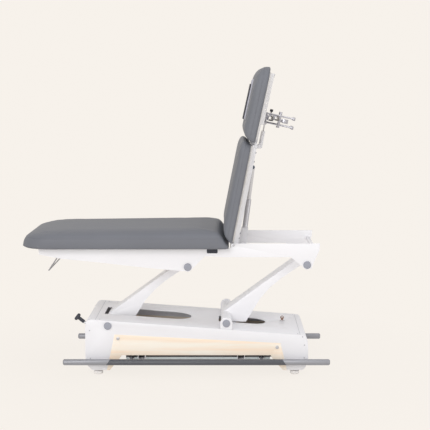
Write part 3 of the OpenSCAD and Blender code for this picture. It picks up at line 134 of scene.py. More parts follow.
lens = bpy.data.cameras.new("lens")
lens.lens = FOCAL_LENGTH
lens.sensor_width = SENSOR_WIDTH
lens.shift_x = -PIXELS_ASIDE / PHOTO_WIDTH
lens.clip_end = FAR_CLIP
camera = bpy.data.objects.new("camera", lens)
camera.location = CAMERA_PLACE
camera.rotation_euler = (math.radians(90.0 - LOOK_DOWN), 0.0, 0.0)
bpy.context.scene.collection.objects.link(camera)
bpy.context.scene.camera = camera


def lamp(name, place, aim, size, power):
    """A square soft lamp that looks at a point of the table."""
    light = bpy.data.lights.new(name, "AREA")
    light.size = size
    light.energy = power
    stand = bpy.data.objects.new(name, light)
    stand.location = place
    stand.rotation_euler = (Vector(aim) - Vector(place)).to_track_quat("-Z", "Y").to_euler()
    bpy.context.scene.collection.objects.link(stand)


lamp("front_lamp", place=(-1.5, -5.5, 2.6), aim=(0.1, 0.0, 0.5), size=3.5, power=130.0)
lamp("top_lamp", place=(0.3, -0.8, 5.0), aim=(0.1, 0.0, 0.4), size=3.0, power=30.0)
lamp("right_lamp", place=(4.5, -2.5, 2.2), aim=(0.1, 0.0, 0.5), size=2.5, power=25.0)

bpy.context.scene.view_settings.view_transform = "Standard"

# Base box: sheet steel sides with the curved end covers and the sloping top cover between them, folded
# and powder coated in a warm white with a fine orange peel, so that the sheet edges are a little
# rounded. A darker line painted on the covers where each end cover meets the top cover is a painted
# shadow of the gap between them.
record = frame["record"]
body_of_node = {node: body for body, nodes in record["behaviour"]["bodies"].items() for node in nodes}
slot_of_node = {row["node"]: row["material_slot"] for row in record["subparts"]}
MERGE = 0.00001
FLAT_ANGLE = math.radians(1.0)
EDGE_ANGLE = math.radians(32.0)
CLOUD_SCALE, CLOUD_DETAIL = 4.0, 5.0
CLOUD_LOW, CLOUD_HIGH = 0.3, 0.7
SMOOTHER, ROUGHER = 0.05, 0.07
SPECK_STRENGTH = 0.7


def tint(red, green, blue):
    """A screen colour, 0 to 255, as the shader's own values."""
    return tuple(((c / 255 + 0.055) / 1.055) ** 2.4 for c in (red, green, blue)) + (1.0,)


def toned(material, pattern, low, high, dark, pale):
    """Colours a finish from dark to pale as a pattern rises from low to high."""
    nodes, links = material.node_tree.nodes, material.node_tree.links
    tone = nodes.new("ShaderNodeValToRGB")
    for stop, position, colour in zip(tone.color_ramp.elements, (low, high), (dark, pale)):
        stop.position = position
        stop.color = colour
    links.new(pattern, tone.inputs[0])
    links.new(tone.outputs[0], nodes["Principled BSDF"].inputs["Base Color"])


def embossed(material, pattern, depth, strength):
    """A bump that raises a finish by a pattern; it still has to be linked to the shader."""
    bump = material.node_tree.nodes.new("ShaderNodeBump")
    bump.inputs["Distance"].default_value = depth
    bump.inputs["Strength"].default_value = strength
    material.node_tree.links.new(pattern, bump.inputs["Height"])
    return bump


def finish(name, colour, rough, grain, depth, wander=0.03, stretch=(1, 1, 1), metal=0.0, coat=0.0,
           cells=False):
    """A finish: specks of size grain and height depth, and a tone that wanders by a small share."""
    material = bpy.data.materials.new(name)
    material.use_nodes = True
    nodes, links = material.node_tree.nodes, material.node_tree.links
    shader = nodes["Principled BSDF"]
    shader.inputs["Metallic"].default_value = metal
    shader.inputs["Coat Weight"].default_value = coat
    where = nodes.new("ShaderNodeTexCoord")
    turn = nodes.new("ShaderNodeMapping")
    turn.inputs["Scale"].default_value = stretch
    links.new(where.outputs["Object"], turn.inputs["Vector"])
    specks = nodes.new("ShaderNodeTexVoronoi" if cells else "ShaderNodeTexNoise")
    specks.inputs["Scale"].default_value = 1 / grain
    links.new(turn.outputs[0], specks.inputs["Vector"])
    speck_height = specks.outputs["Distance" if cells else "Fac"]
    cloud = nodes.new("ShaderNodeTexNoise")
    cloud.inputs["Scale"].default_value = CLOUD_SCALE
    cloud.inputs["Detail"].default_value = CLOUD_DETAIL
    links.new(turn.outputs[0], cloud.inputs["Vector"])
    dark = tuple(c * (1 - wander) for c in colour[:3]) + (1.0,)
    pale = tuple(min(1, c * (1 + wander)) for c in colour[:3]) + (1.0,)
    toned(material, cloud.outputs["Fac"], CLOUD_LOW, CLOUD_HIGH, dark, pale)
    polish = nodes.new("ShaderNodeMapRange")
    polish.inputs["To Min"].default_value = rough - SMOOTHER
    polish.inputs["To Max"].default_value = rough + ROUGHER
    links.new(cloud.outputs["Fac"], polish.inputs["Value"])
    links.new(polish.outputs[0], shader.inputs["Roughness"])
    relief = embossed(material, speck_height, depth, SPECK_STRENGTH)
    links.new(relief.outputs[0], shader.inputs["Normal"])
    return material


def settle(mesh, name, body, material, slot, *nodes):
    """Makes a finished piece of a mesh that is already in place, and lets it stand for its CAD nodes."""
    mesh.materials.clear()
    mesh.materials.append(material)
    mesh.shade_smooth()
    mesh.set_sharp_from_angle(angle=EDGE_ANGLE)
    piece = bpy.data.objects.new(name, mesh)
    bpy.context.scene.collection.objects.link(piece)
    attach(piece, body)
    if nodes:
        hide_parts(*nodes)
    return piece


def eased(material, radius, *nodes):
    """The CAD pieces with their sharp edges rounded to a radius."""
    for node in nodes:
        form = bmesh.new()
        form.from_mesh(frame["nodes"][node].data)
        bmesh.ops.remove_doubles(form, verts=form.verts, dist=MERGE)
        bmesh.ops.dissolve_limit(form, angle_limit=FLAT_ANGLE, verts=form.verts, edges=form.edges)
        sharp = [e for e in form.edges if e.is_manifold and e.calc_face_angle() > EDGE_ANGLE]
        bmesh.ops.bevel(form, geom=sharp, offset=radius, segments=2, profile=0.5, affect="EDGES",
                        clamp_overlap=True, material=-1)
        bmesh.ops.triangulate(form, faces=[f for f in form.faces if len(f.verts) > 4])
        mesh = bpy.data.meshes.new(node + "_eased")
        form.to_mesh(mesh)
        form.free()
        settle(mesh, node + "_eased", body_of_node[node], material, slot_of_node[node], node)


def banded(material, colour, *limits):
    """Lays a colour over a finish where every limit holds. A limit is an axis, a centre, a distance from
    it on both sides, and half the width of the band there."""
    tree = material.node_tree
    base = tree.nodes["Principled BSDF"].inputs["Base Color"]
    where = tree.nodes.new("ShaderNodeTexCoord")
    split = tree.nodes.new("ShaderNodeSeparateXYZ")
    tree.links.new(where.outputs["Object"], split.inputs[0])
    over = tree.nodes.new("ShaderNodeMix")
    over.data_type = "RGBA"
    tree.links.new(base.links[0].from_socket, over.inputs["A"])
    over.inputs["B"].default_value = colour
    inside = None
    for axis, centre, distance, half in limits:
        away = worked(tree, "ABSOLUTE", worked(tree, "SUBTRACT", split.outputs[axis], centre))
        within = worked(tree, "COMPARE", away, distance, half)
        inside = within if inside is None else worked(tree, "MULTIPLY", inside, within)
    tree.links.new(inside, over.inputs["Factor"])
    tree.links.new(over.outputs["Result"], base)


white_coat = finish("white_coat", tint(247, 246, 248), 0.42, 0.0012, 0.00004, wander=0.012, coat=0.15)
# Painted shade and light: the side panels take a darker copy of this white coat and the covers a lighter
# one, to set how bright each comes out under the lamps.
panel_coat_painted_shade = finish("panel_coat_painted_shade", tint(241, 240, 242), 0.42, 0.0012, 0.00004, wander=0.012, coat=0.15)
cover_coat_painted_light_and_shade = finish("cover_coat_painted_light_and_shade", tint(250, 249, 251), 0.46, 0.0012, 0.00004, wander=0.012, coat=0.1)
COVER_MIDDLE, TO_COVER_JOINT, HALF_JOINT_SHADOW = 0.1125, 0.5385, 0.0014
# Painted shadow: a grey band on the covers at each joint of an end cover with the top cover, in place of
# the shade in the gap.
banded(cover_coat_painted_light_and_shade, tint(206, 206, 210), ("X", COVER_MIDDLE, TO_COVER_JOINT, HALF_JOINT_SHADOW))
eased(panel_coat_painted_shade, 0.0012, "near_side_panel", "far_side_panel", "rear_arm_brackets")
eased(cover_coat_painted_light_and_shade, 0.0008, "top_cover", "foot_end_cover", "head_end_cover")

# Wood inserts: birch faced board with its grain along the base, sealed with a satin lacquer. Each
# is let into the cut-out of its side panel and held by two flat screws.
BAND_SCALE, BAND_DETAIL = (1.4, 9.0, 26.0), 6.0
PORE_SCALE, PORE_DETAIL = (9.0, 60.0, 420.0), 3.0
GRAIN_WAVES = 0.6
PORE_SHARE = 0.25
GRAIN_LOW, GRAIN_HIGH = 0.45, 0.78
PORE_DEPTH, PORE_STRENGTH = 0.0001, 0.4
LACQUER_ROUGH, LACQUER_COAT = 0.4, 0.2


def birch(name, pale, dark):
    """Lacquered birch: long soft bands with fine pores along X."""
    material = bpy.data.materials.new(name)
    material.use_nodes = True
    nodes, links = material.node_tree.nodes, material.node_tree.links
    shader = nodes["Principled BSDF"]
    shader.inputs["Roughness"].default_value = LACQUER_ROUGH
    shader.inputs["Coat Weight"].default_value = LACQUER_COAT
    where = nodes.new("ShaderNodeTexCoord")
    layers = []
    for scale, detail in ((BAND_SCALE, BAND_DETAIL), (PORE_SCALE, PORE_DETAIL)):
        stretch = nodes.new("ShaderNodeMapping")
        stretch.inputs["Scale"].default_value = scale
        links.new(where.outputs["Object"], stretch.inputs["Vector"])
        band = nodes.new("ShaderNodeTexNoise")
        band.inputs["Scale"].default_value = 1.0
        band.inputs["Detail"].default_value = detail
        band.inputs["Distortion"].default_value = GRAIN_WAVES
        links.new(stretch.outputs[0], band.inputs["Vector"])
        layers.append(band.outputs["Fac"])
    bands, pores = layers
    grain = worked(material.node_tree, "MULTIPLY_ADD", pores, PORE_SHARE, bands)
    toned(material, grain, GRAIN_LOW, GRAIN_HIGH, dark, pale)
    relief = embossed(material, pores, PORE_DEPTH, PORE_STRENGTH)
    links.new(relief.outputs[0], shader.inputs["Normal"])
    return material


birch_face = birch("birch_face", tint(255, 247, 233), tint(255, 233, 208))
eased(birch_face, 0.0015, "near_wood_panel", "far_wood_panel")

# Chassis: square steel tube welded into a ladder, in the same white coat, with solid posts over the
# feet. The long plate behind each foot bar has a dark band along it that is painted shade, standing in
# for the dark gap inside the base, over a pale bluish lower edge that is white coat with a painted
# highlight. The same painted shade is carried over the ears of the bar levers and the ends of the ties
# beside them, so that it runs on across them.
rail_coat_painted_shade_and_highlight = white_coat.copy()
rail_coat_painted_shade_and_highlight.name = "rail_coat_painted_shade_and_highlight"
PLATE = ("Y", 0.0, 0.180, 0.008)
EARS = (("X", 0.105, 0.345, 0.020), ("Y", 0.0, 0.202, 0.0145), ("Z", 0.0945, 0.0, 0.0165))
TIE_ENDS = (("X", 0.0775, 0.2625, 0.0215), ("Y", 0.0, 0.204, 0.016), ("Z", 0.0955, 0.0, 0.0175))
HIGHLIGHT_EDGE = ("Z", 0.037, 0.0, 0.037)
PAINTED_SHADE_BAND = ("Z", 0.0805, 0.0, 0.006)
PAINTED_SHADE_BLACK = tint(52, 52, 56)
# Painted highlight: the lower edge of the plate, white coat painted paler and bluish.
banded(rail_coat_painted_shade_and_highlight, tint(240, 252, 255), PLATE, HIGHLIGHT_EDGE)
# Painted shade: a dark band along the plate in place of the shade in the gap above the foot bar.
banded(rail_coat_painted_shade_and_highlight, tint(46, 46, 50), PLATE, PAINTED_SHADE_BAND)
# The same painted shade, carried over the lever ears and the tie ends.
banded(rail_coat_painted_shade_and_highlight, PAINTED_SHADE_BLACK, *EARS)
banded(rail_coat_painted_shade_and_highlight, PAINTED_SHADE_BLACK, *TIE_ENDS)
eased(rail_coat_painted_shade_and_highlight, 0.0008, "chassis")

# Screws of the panels and the wood inserts, the axle stubs of the lift and the hinge pins of the back:
# zinc plated steel, turned, and screwed or pressed in.
zinc = finish("zinc", tint(196, 197, 202), 0.34, 0.0006, 0.00001, wander=0.05, metal=0.9)
eased(zinc, 0.0004, "cover_screws", "wood_screws", "base_axles", "top_axles", "back_hinge_pins")

# Caps over the lift pivots: grey moulded plastic discs with a soft rim. They are pushed on over the
# ends of the axle stubs.
cap_grey = finish("cap_grey", tint(158, 160, 170), 0.5, 0.0005, 0.00002, wander=0.02)
eased(cap_grey, 0.0012, "base_pivot_caps", "top_pivot_caps")

# Control box under the top cover, mains inlet in the head end cover, and key switch with its key: dark
# moulded plastic with a spark finish, a nickel plated switch barrel, and a brown plastic key.
dark_moulding = finish("dark_moulding", tint(58, 59, 66), 0.5, 0.0004, 0.00003, wander=0.06)
nickel = finish("nickel", tint(214, 214, 218), 0.22, 0.0007, 0.00001, wander=0.04, metal=1.0)
eased(dark_moulding, 0.001, "control_box")
eased(dark_moulding, 0.0005, "mains_inlet")
eased(nickel, 0.0006, "key_switch")
key_brown = finish("key_brown", tint(136, 104, 86), 0.42, 0.0005, 0.00002, wander=0.06)
eased(key_brown, 0.0006, "key")

# Levelling feet: pale grey nylon, ribbed at the rim to be turned by hand, each on a threaded stud
# that screws up into a post of the chassis.
FEET = 4
foot_grey = finish("foot_grey", tint(250, 247, 244), 0.55, 0.0006, 0.00003, wander=0.04)
eased(foot_grey, 0.0008, *(f"levelling_foot_{k}" for k in range(1, FEET + 1)))

# Foot bars: long aluminium tubes with a grey anodised skin, closed by moulded ends. Pressed by a foot
# anywhere along their length, they rock on two levers.
anodised = finish("anodised", tint(156, 157, 163), 0.42, 0.0009, 0.00002, wander=0.03,
                  stretch=(0.05, 1, 1), metal=0.35)
eased(anodised, 0.0008, "near_foot_bar", "far_foot_bar")

# Grip sleeves on the foot bars: dark rubber with fine ribs along the bar. Each is drawn tight over its
# bar and cut away round the levers. A wave texture of scale 1 repeats every WAVE_LENGTH metres.
RIB_PITCH, RIB_DEPTH, RIB_STRENGTH = 0.0026, 0.0004, 0.5
WAVE_LENGTH = 0.314


def ribbed_rubber(name, colour):
    """Rubber with ribs that run along X, spaced by their height."""
    material = finish(name, colour, 0.3, 0.0005, 0.00002, wander=0.05)
    nodes, links = material.node_tree.nodes, material.node_tree.links
    where = nodes.new("ShaderNodeTexCoord")
    ribs = nodes.new("ShaderNodeTexWave")
    ribs.wave_type = "BANDS"
    ribs.bands_direction = "Z"
    ribs.inputs["Scale"].default_value = WAVE_LENGTH / RIB_PITCH
    ribs.inputs["Distortion"].default_value = 0.0
    links.new(where.outputs["Object"], ribs.inputs["Vector"])
    relief = embossed(material, ribs.outputs["Fac"], RIB_DEPTH, RIB_STRENGTH)
    specks = next(n for n in nodes if n.type == "BUMP" and n != relief)
    links.new(specks.outputs[0], relief.inputs["Normal"])
    links.new(relief.outputs[0], nodes["Principled BSDF"].inputs["Normal"])
    return material


sleeve_rubber = ribbed_rubber("sleeve_rubber", tint(83, 85, 91))
eased(sleeve_rubber, 0.0004, "near_bar_sleeve", "far_bar_sleeve")

# Castor pedal: a bright steel shaft with two cranks and a rod up to the rubber T head. The castors
# have dark solid tyres.
head_rubber = finish("head_rubber", tint(64, 66, 74), 0.55, 0.0006, 0.00005, wander=0.05)
eased(zinc, 0.0008, "castor_pedal")
eased(head_rubber, 0.002, "castor_pedal_pad")
eased(head_rubber, 0.001, "near_castor_wheel", "far_castor_wheel")

# Lift arms: folded sheet, open below and coated white, welded to a torsion tube at the base and to a
# cross tube above, which turn on the axle stubs.
eased(white_coat, 0.0015, "front_arm", "rear_arm")

# Actuators of the lift and of the back: glossy white plastic motor housings and polished steel rods.
# The back actuator's outer tube, beyond its housing, is bare drawn steel.
DRAWN = (1, 1, 0.1)
ACTUATOR_FOOT, HOUSING_LENGTH = Vector((0.352, 0.0, 0.655)), 0.101
motor_white = finish("motor_white", tint(224, 224, 227), 0.28, 0.0004, 0.00001, wander=0.015, coat=0.3)
polished = finish("polished", tint(206, 206, 210), 0.14, 0.0008, 0.00001, wander=0.05, stretch=DRAWN,
                  metal=1.0)
eased(motor_white, 0.003, "lift_actuator_body", "back_actuator_tube")
tube_steel = finish("tube_steel", tint(176, 176, 182), 0.26, 0.0008, 0.00001, wander=0.05,
                    stretch=DRAWN, metal=0.9)
sheath = bpy.data.objects["back_actuator_tube_eased"].data
sheath.materials.append(tube_steel)
for face in sheath.polygons:
    if (face.center - ACTUATOR_FOOT).length > HOUSING_LENGTH:
        face.material_index = 1
eased(polished, 0.0008, "lift_actuator_rod", "back_actuator_rod")

# Top frame: two long folded side plates, with welded cross members between them and the stop that the
# back lies on, all in the white powder coat.
eased(white_coat, 0.0015, "near_frame_plate", "far_frame_plate")
eased(white_coat, 0.0008, "frame_cross_members")

# Paper roll bail: wire bent into a bail under the foot end and zinc plated dull. Its ends are welded
# to the inner faces of the frame plates.
dull_wire = finish("dull_wire", tint(150, 149, 153), 0.36, 0.0007, 0.00001, wander=0.05, metal=0.6)
eased(dull_wire, 0.0003, "paper_roll_bail")

# Plain tag: a small plate with round corners, moulded in black plastic and glued to the near frame
# plate, under the edge of the leg cushion.
tag_black = finish("tag_black", tint(42, 45, 58), 0.45, 0.0005, 0.00004, wander=0.06)
eased(tag_black, 0.0008, "blank_tag")

# Boards under the cushions: birch plywood with a thin white stain, so that the grain still shows. They
# lie on the frames, and the cushions are stapled to them.
ply = birch("ply", tint(250, 247, 243), tint(241, 236, 228))
eased(ply, 0.0012, "leg_board", "back_board", "head_board")

# Back and head frames: steel tube and flats, welded and coated white. Small blackened bolts hold the
# back board, and a pin of the same kind holds the rod of the actuator.
eased(white_coat, 0.0008, "back_frame")
eased(white_coat, 0.001, "head_frame")
black_bolt = finish("black_bolt", tint(70, 82, 98), 0.4, 0.0005, 0.00002, wander=0.05, metal=0.6)
eased(black_bolt, 0.0005, "board_bolts")

# Armrest carrier behind the head: bright zinc plated plates, rails with domed nuts and a fixed square
# socket for an armrest. The crossbar with the second socket slides along the rails, and a black knob
# clamps the armrest in the fixed one. The mouths of both sockets are painted dark, a painted shade of
# the hollows inside them.
alloy = finish("alloy", tint(182, 182, 189), 0.26, 0.0007, 0.00001, wander=0.04, metal=0.85)
PAINTED_SOCKET_SHADE = ((tint(50, 46, 46), ("X", 0.4968, 0.0, 0.0125), ("Z", 1.3423, 0.0, 0.0115)),
                 (tint(96, 90, 88), ("X", 0.5293, 0.0, 0.0125), ("Z", 1.3414, 0.0, 0.0095)))
# Painted shade in the mouth of each socket, one darker than the other.
for shade, *mouth in PAINTED_SOCKET_SHADE:
    banded(alloy, shade, *mouth)
knob_black = finish("knob_black", tint(52, 52, 60), 0.45, 0.0005, 0.00003, wander=0.05)
eased(alloy, 0.0006, "armrest_carrier", "armrest_crossbar")
eased(knob_black, 0.001, "clamp_knob")

# Locking strut between the back and the head: a white painted gas cylinder, pinned to links of the
# back frame, and its polished rod, pinned between ears of the head frame.
eased(white_coat, 0.001, "strut_tube")
eased(polished, 0.0005, "strut_rod")

# Release handle of the head: a bail of steel rod with a dark coat. It turns on two pins inside the
# flats of the head frame.
eased(knob_black, 0.001, "release_handle")

# Cushions: moulded foam on a birch board, under grey upholstery vinyl that is sewn along the sides and
# stapled to the board below. Each starts as a stack of its own outline, is blown up a little as
# cloth, and then gets its sewn seams.
HALF_WIDTH = 0.339
VOXEL = 0.0085
SMOOTH_SHARE, SMOOTH_ROUNDS = 0.5, 4
HELD_BELOW = 0.012
SIM_STEPS = 20
PRESSURE = 4.0
MOST_MOVE = 0.004
SEAM_RADIUS = 0.0011
VINYL_SHINE = 0.22
CREASE_SCALE, CREASE_DETAIL, CREASE_WAVES = 7.0, 2.0, 0.8
CREASE_DEPTH, CREASE_STRENGTH = 0.004, 0.35


def vinyl(name, colour):
    """Upholstery vinyl: a fine pebble grain over soft slow creases, with a faint shine."""
    material = finish(name, colour, 0.5, 0.0011, 0.00009, wander=0.035, cells=True)
    nodes, links = material.node_tree.nodes, material.node_tree.links
    nodes["Principled BSDF"].inputs["Specular IOR Level"].default_value = VINYL_SHINE
    where = nodes.new("ShaderNodeTexCoord")
    creases = nodes.new("ShaderNodeTexNoise")
    creases.inputs["Scale"].default_value = CREASE_SCALE
    creases.inputs["Detail"].default_value = CREASE_DETAIL
    creases.inputs["Distortion"].default_value = CREASE_WAVES
    links.new(where.outputs["Object"], creases.inputs["Vector"])
    slow = embossed(material, creases.outputs["Fac"], CREASE_DEPTH, CREASE_STRENGTH)
    grain = next(n for n in nodes if n.type == "BUMP" and n != slow)
    links.new(slow.outputs[0], grain.inputs["Normal"])
    return material


grey_vinyl = vinyl("grey_vinyl", tint(119, 121, 127))
seam_thread = finish("seam_thread", tint(112, 113, 120), 0.6, 0.0008, 0.0001, wander=0.08)


def outline_stack(length, thick, corners, ring_shares):
    """A bmesh of a cushion: its outline, rounded at the corners of the low and the high end, raised ring
    by ring. A ring is its height and how far it is drawn in at the sides, the low end and the high
    end, all as shares of the thickness."""
    form = bmesh.new()
    bmesh.ops.create_grid(form, x_segments=1, y_segments=1, size=0.5)
    sides, low, high = ring_shares[0][1:]
    box = [low * thick, length - high * thick, HALF_WIDTH - sides * thick]
    bmesh.ops.scale(form, vec=(box[1] - box[0], 2 * box[2], 1), verts=form.verts)
    bmesh.ops.translate(form, vec=((box[0] + box[1]) / 2, 0, 0), verts=form.verts)
    middle = (box[0] + box[1]) / 2
    for radius, at_low in zip(corners, (True, False)):
        square = [v for v in form.verts if (v.co.x < middle) == at_low
                  and min(abs(v.co.x - box[0]), abs(v.co.x - box[1])) < MERGE]
        bmesh.ops.bevel(form, geom=square, offset=radius, segments=10, profile=0.5, affect="VERTICES",
                        clamp_overlap=True, material=-1)
    level = 0.0
    for height, sides, low, high in ring_shares[1:]:
        top = [f for f in form.faces if all(abs(v.co.z - level * thick) < MERGE for v in f.verts)]
        raised = bmesh.ops.extrude_face_region(form, geom=top, use_keep_orig=False)
        verts = [g for g in raised["geom"] if isinstance(g, bmesh.types.BMVert)]
        fresh = [low * thick, length - high * thick, HALF_WIDTH - sides * thick]
        to_middle = Matrix.Translation((-(box[0] + box[1]) / 2, 0, 0))
        grow = ((fresh[1] - fresh[0]) / (box[1] - box[0]), fresh[2] / box[2], 1)
        bmesh.ops.translate(form, vec=(0, 0, (height - level) * thick), verts=verts)
        bmesh.ops.scale(form, vec=grow, space=to_middle, verts=verts)
        bmesh.ops.translate(form, vec=((fresh[0] + fresh[1] - box[0] - box[1]) / 2, 0, 0), verts=verts)
        if level > 0:
            stale = [f for f in top if f.is_valid]
            bmesh.ops.delete(form, geom=stale, context="FACES_ONLY")
        level, box = height, fresh
    bmesh.ops.remove_doubles(form, verts=form.verts, dist=MERGE)
    bmesh.ops.recalc_face_normals(form, faces=form.faces)
    return form


def as_mesh(piece):
    """A new mesh of an object as its modifiers leave it."""
    return bpy.data.meshes.new_from_object(piece.evaluated_get(bpy.context.evaluated_depsgraph_get()))


def blown(mesh):
    """The mesh, remeshed and puffed up as a pressurised cloth, with its lowest part kept still."""
    scene = bpy.context.scene
    piece = bpy.data.objects.new("stuffing", mesh)
    scene.collection.objects.link(piece)
    even = piece.modifiers.new("even", "REMESH")
    even.mode = "VOXEL"
    even.voxel_size = VOXEL
    bpy.context.view_layer.update()
    fine = as_mesh(piece)
    piece.modifiers.clear()
    piece.data = fine
    smooth = piece.modifiers.new("smooth", "SMOOTH")
    smooth.factor = SMOOTH_SHARE
    smooth.iterations = SMOOTH_ROUNDS
    fine = as_mesh(piece)
    piece.modifiers.clear()
    piece.data = fine
    still = piece.vertex_groups.new(name="still")
    still.add([v.index for v in fine.vertices if v.co.z < HELD_BELOW], 1.0, "REPLACE")
    cloth = piece.modifiers.new("cloth", "CLOTH")
    cloth.settings.use_pressure = True
    cloth.settings.uniform_pressure_force = PRESSURE
    cloth.settings.effector_weights.gravity = 0.0
    cloth.settings.vertex_group_mass = "still"
    cloth.point_cache.frame_start, cloth.point_cache.frame_end = 1, SIM_STEPS
    for step in range(1, SIM_STEPS + 1):
        scene.frame_set(step)
    puffed = piece.evaluated_get(bpy.context.evaluated_depsgraph_get()).data
    moves = [b.co - a.co for a, b in zip(fine.vertices, puffed.vertices)]
    piece.modifiers.clear()
    for vertex, move in zip(fine.vertices, moves):
        if move.length > MOST_MOVE:
            move = move * (MOST_MOVE / move.length)
        vertex.co += move
    scene.frame_set(1)
    split = piece.modifiers.new("split", "SUBSURF")
    split.levels = split.render_levels = 1
    done = as_mesh(piece)
    bpy.data.objects.remove(piece)
    return done


def sewn(mesh, height, name):
    """A thin raised seam round a cushion, where a level plane cuts its skin."""
    cut = bmesh.new()
    cut.from_mesh(mesh)
    found = bmesh.ops.bisect_plane(cut, geom=cut.verts[:] + cut.edges[:] + cut.faces[:], dist=MERGE,
                                   plane_co=(0, 0, height), plane_no=(0, 0, 1))
    edges = [g for g in found["geom_cut"] if isinstance(g, bmesh.types.BMEdge)]
    ring = {}
    for edge in edges:
        for vert in edge.verts:
            ring.setdefault(vert, []).append(edge)
    start = max(ring, key=lambda v: v.co.x)
    walk, vert, used = [start], start, set()
    while True:
        onward = [e for e in ring[vert] if e not in used]
        if not onward:
            break
        used.add(onward[0])
        vert = onward[0].other_vert(vert)
        if vert is start:
            break
        walk.append(vert)
    places = [v.co.copy() for v in walk[::2]]
    cut.free()
    line = bpy.data.curves.new(name, "CURVE")
    line.dimensions = "3D"
    spline = line.splines.new("POLY")
    spline.points.add(len(places) - 1)
    for point, place in zip(spline.points, places):
        point.co = (*place, 1.0)
    spline.use_cyclic_u = True
    line.bevel_depth = SEAM_RADIUS
    line.bevel_resolution = 2
    carrier = bpy.data.objects.new(name, line)
    bpy.context.scene.collection.objects.link(carrier)
    bpy.context.view_layer.update()
    tube = as_mesh(carrier)
    bpy.data.objects.remove(carrier)
    return tube


def cushion(node, form, place, seam_heights):
    """One finished cushion that stands for a CAD node, with its seams on it."""
    stacked = bpy.data.meshes.new(node + "_stack")
    form.to_mesh(stacked)
    form.free()
    mesh = blown(stacked)
    seams = [sewn(mesh, height, f"{node}_seam_{k}") for k, height in enumerate(seam_heights, 1)]
    mesh.transform(place)
    body = body_of_node[node]
    piece = settle(mesh, node + "_vinyl", body, grey_vinyl, slot_of_node[node], node)
    for k, tube in enumerate(seams, 1):
        tube.transform(place)
        settle(tube, f"{node}_seam_{k}", body, seam_thread, slot_of_node[node])


# Leg cushion: long, with wide round corners at the foot end, where its top falls a little and its
# lower edge stands out. The head end is cut back to make room for the back cushion.
LEG_LENGTH, LEG_THICK = 1.084, 0.096
LEG_CORNERS = (0.14, 0.026)
LEG_SEAMS = (0.0085, 0.056)
LEG_PLACE = Matrix.Translation((-0.805, 0.0, 0.6763))
FOOT_DROP = 0.013
DROP_LENGTH = 0.575
LEG_RING_SHARES = ((0, 0.1, 0.05, 0.03), (0.06, 0.03, -0.04, 0), (0.16, 0, -0.07, 0.05),
                   (0.5, 0, 0.01, 0.258), (0.6, 0.01, 0.07, 0.31), (0.72, 0.05, 0.15, 0.39),
                   (0.83, 0.15, 0.27, 0.475), (0.91, 0.3, 0.47, 0.55), (0.97, 0.58, 0.85, 0.72),
                   (1, 1.3, 1.8, 1.34))
leg_form = outline_stack(LEG_LENGTH, LEG_THICK, LEG_CORNERS, LEG_RING_SHARES)
for vert in leg_form.verts:
    vert.co.z *= 1 - FOOT_DROP / LEG_THICK * max(0.0, 1 - vert.co.x / DROP_LENGTH)
cushion("leg_pad", leg_form, LEG_PLACE, LEG_SEAMS)

# Back cushion: shorter, rounder at the top where the head cushion meets it, and drawn in at the foot
# so that it can turn down beside the leg cushion. It is drawn flat from the hinge, then tilted up.
BACK_LENGTH, BACK_THICK = 0.543, 0.057
BACK_CORNERS = (0.024, 0.06)
BACK_SEAMS = (0.006, 0.030)
BACK_HINGE = (0.300, 0.0, 0.689)
BACK_TILT = math.radians(-79.0)
BACK_PLACE = Matrix.Translation(BACK_HINGE) @ Matrix.Rotation(BACK_TILT, 4, "Y")
BACK_PAD = BACK_PLACE @ Matrix.Translation((0.009, 0, 0.0105))
BACK_RING_SHARES = ((0, 0.16, 0.12, 0.4), (0.07, 0.04, 0.04, 0.34), (0.15, 0, 0, 0.28),
                    (0.5, 0, 0.26, 0.05), (0.64, 0, 0.38, 0), (0.78, 0.06, 0.53, 0.05),
                    (0.88, 0.15, 0.68, 0.16), (0.95, 0.32, 0.86, 0.34), (0.985, 0.65, 1.12, 0.7),
                    (1, 1.6, 1.9, 1.6))
back_form = outline_stack(BACK_LENGTH, BACK_THICK, BACK_CORNERS, BACK_RING_SHARES)
cushion("back_pad", back_form, BACK_PAD, BACK_SEAMS)

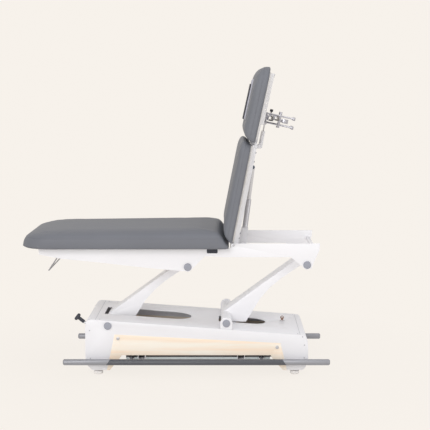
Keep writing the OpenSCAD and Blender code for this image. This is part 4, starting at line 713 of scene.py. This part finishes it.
# Head cushion: wide round upper corners, on the board of the head frame, which is hinged to the back
# frame. It leans back a little further than the back does.
HEAD_LENGTH, HEAD_THICK = 0.405, 0.0665
HEAD_CORNERS = (0.024, 0.11)
HEAD_SEAMS = (0.006, 0.031)
HEAD_HINGE = Vector((0.536, 0.0, -0.014))
HEAD_LEAN = math.radians(1.2)
HEAD_PLACE = (BACK_PLACE @ Matrix.Translation(HEAD_HINGE) @ Matrix.Rotation(HEAD_LEAN, 4, "Y")
              @ Matrix.Translation(-HEAD_HINGE))
HEAD_PAD = HEAD_PLACE @ Matrix.Translation((0.540, 0, -0.005))
HEAD_RING_SHARES = ((0, 0.14, 0.08, 0.14), (0.06, 0.04, 0.05, 0.03), (0.15, 0, 0.02, 0),
                    (0.32, 0, 0, 0.02), (0.6, 0, 0.2, 0.15), (0.75, 0.02, 0.29, 0.27),
                    (0.86, 0.11, 0.38, 0.42), (0.94, 0.26, 0.5, 0.57), (0.985, 0.55, 0.75, 0.8),
                    (1, 1.3, 1.4, 1.4))
head_form = outline_stack(HEAD_LENGTH, HEAD_THICK, HEAD_CORNERS, HEAD_RING_SHARES)
cushion("head_pad", head_form, HEAD_PAD, HEAD_SEAMS)

# Face insert: a foam plug under paler vinyl that pushes into a window of the head cushion from the
# front, with a thin dark cover plate moulded in plastic on it.
INSERT_LOW, INSERT_HIGH = Vector((0.642, -0.080, 0.004)), Vector((0.866, 0.080, 0.073))
INSERT_EDGE = 0.014
form = bmesh.new()
bmesh.ops.create_cube(form, size=1.0)
bmesh.ops.scale(form, vec=INSERT_HIGH - INSERT_LOW, verts=form.verts)
bmesh.ops.translate(form, vec=(INSERT_LOW + INSERT_HIGH) / 2, verts=form.verts)
bmesh.ops.bevel(form, geom=form.edges[:], offset=INSERT_EDGE, segments=6, profile=0.5,
                affect="EDGES", clamp_overlap=True, material=-1)
plug = bpy.data.meshes.new("block")
form.to_mesh(plug)
form.free()
plug.transform(HEAD_PLACE)
pale_vinyl = vinyl("pale_vinyl", tint(186, 185, 194))
insert = settle(plug, "face_insert_vinyl", "face_insert", pale_vinyl, "pale_vinyl", "face_insert")
eased(dark_moulding, 0.002, "face_insert_cover")

bpy.context.view_layer.update()
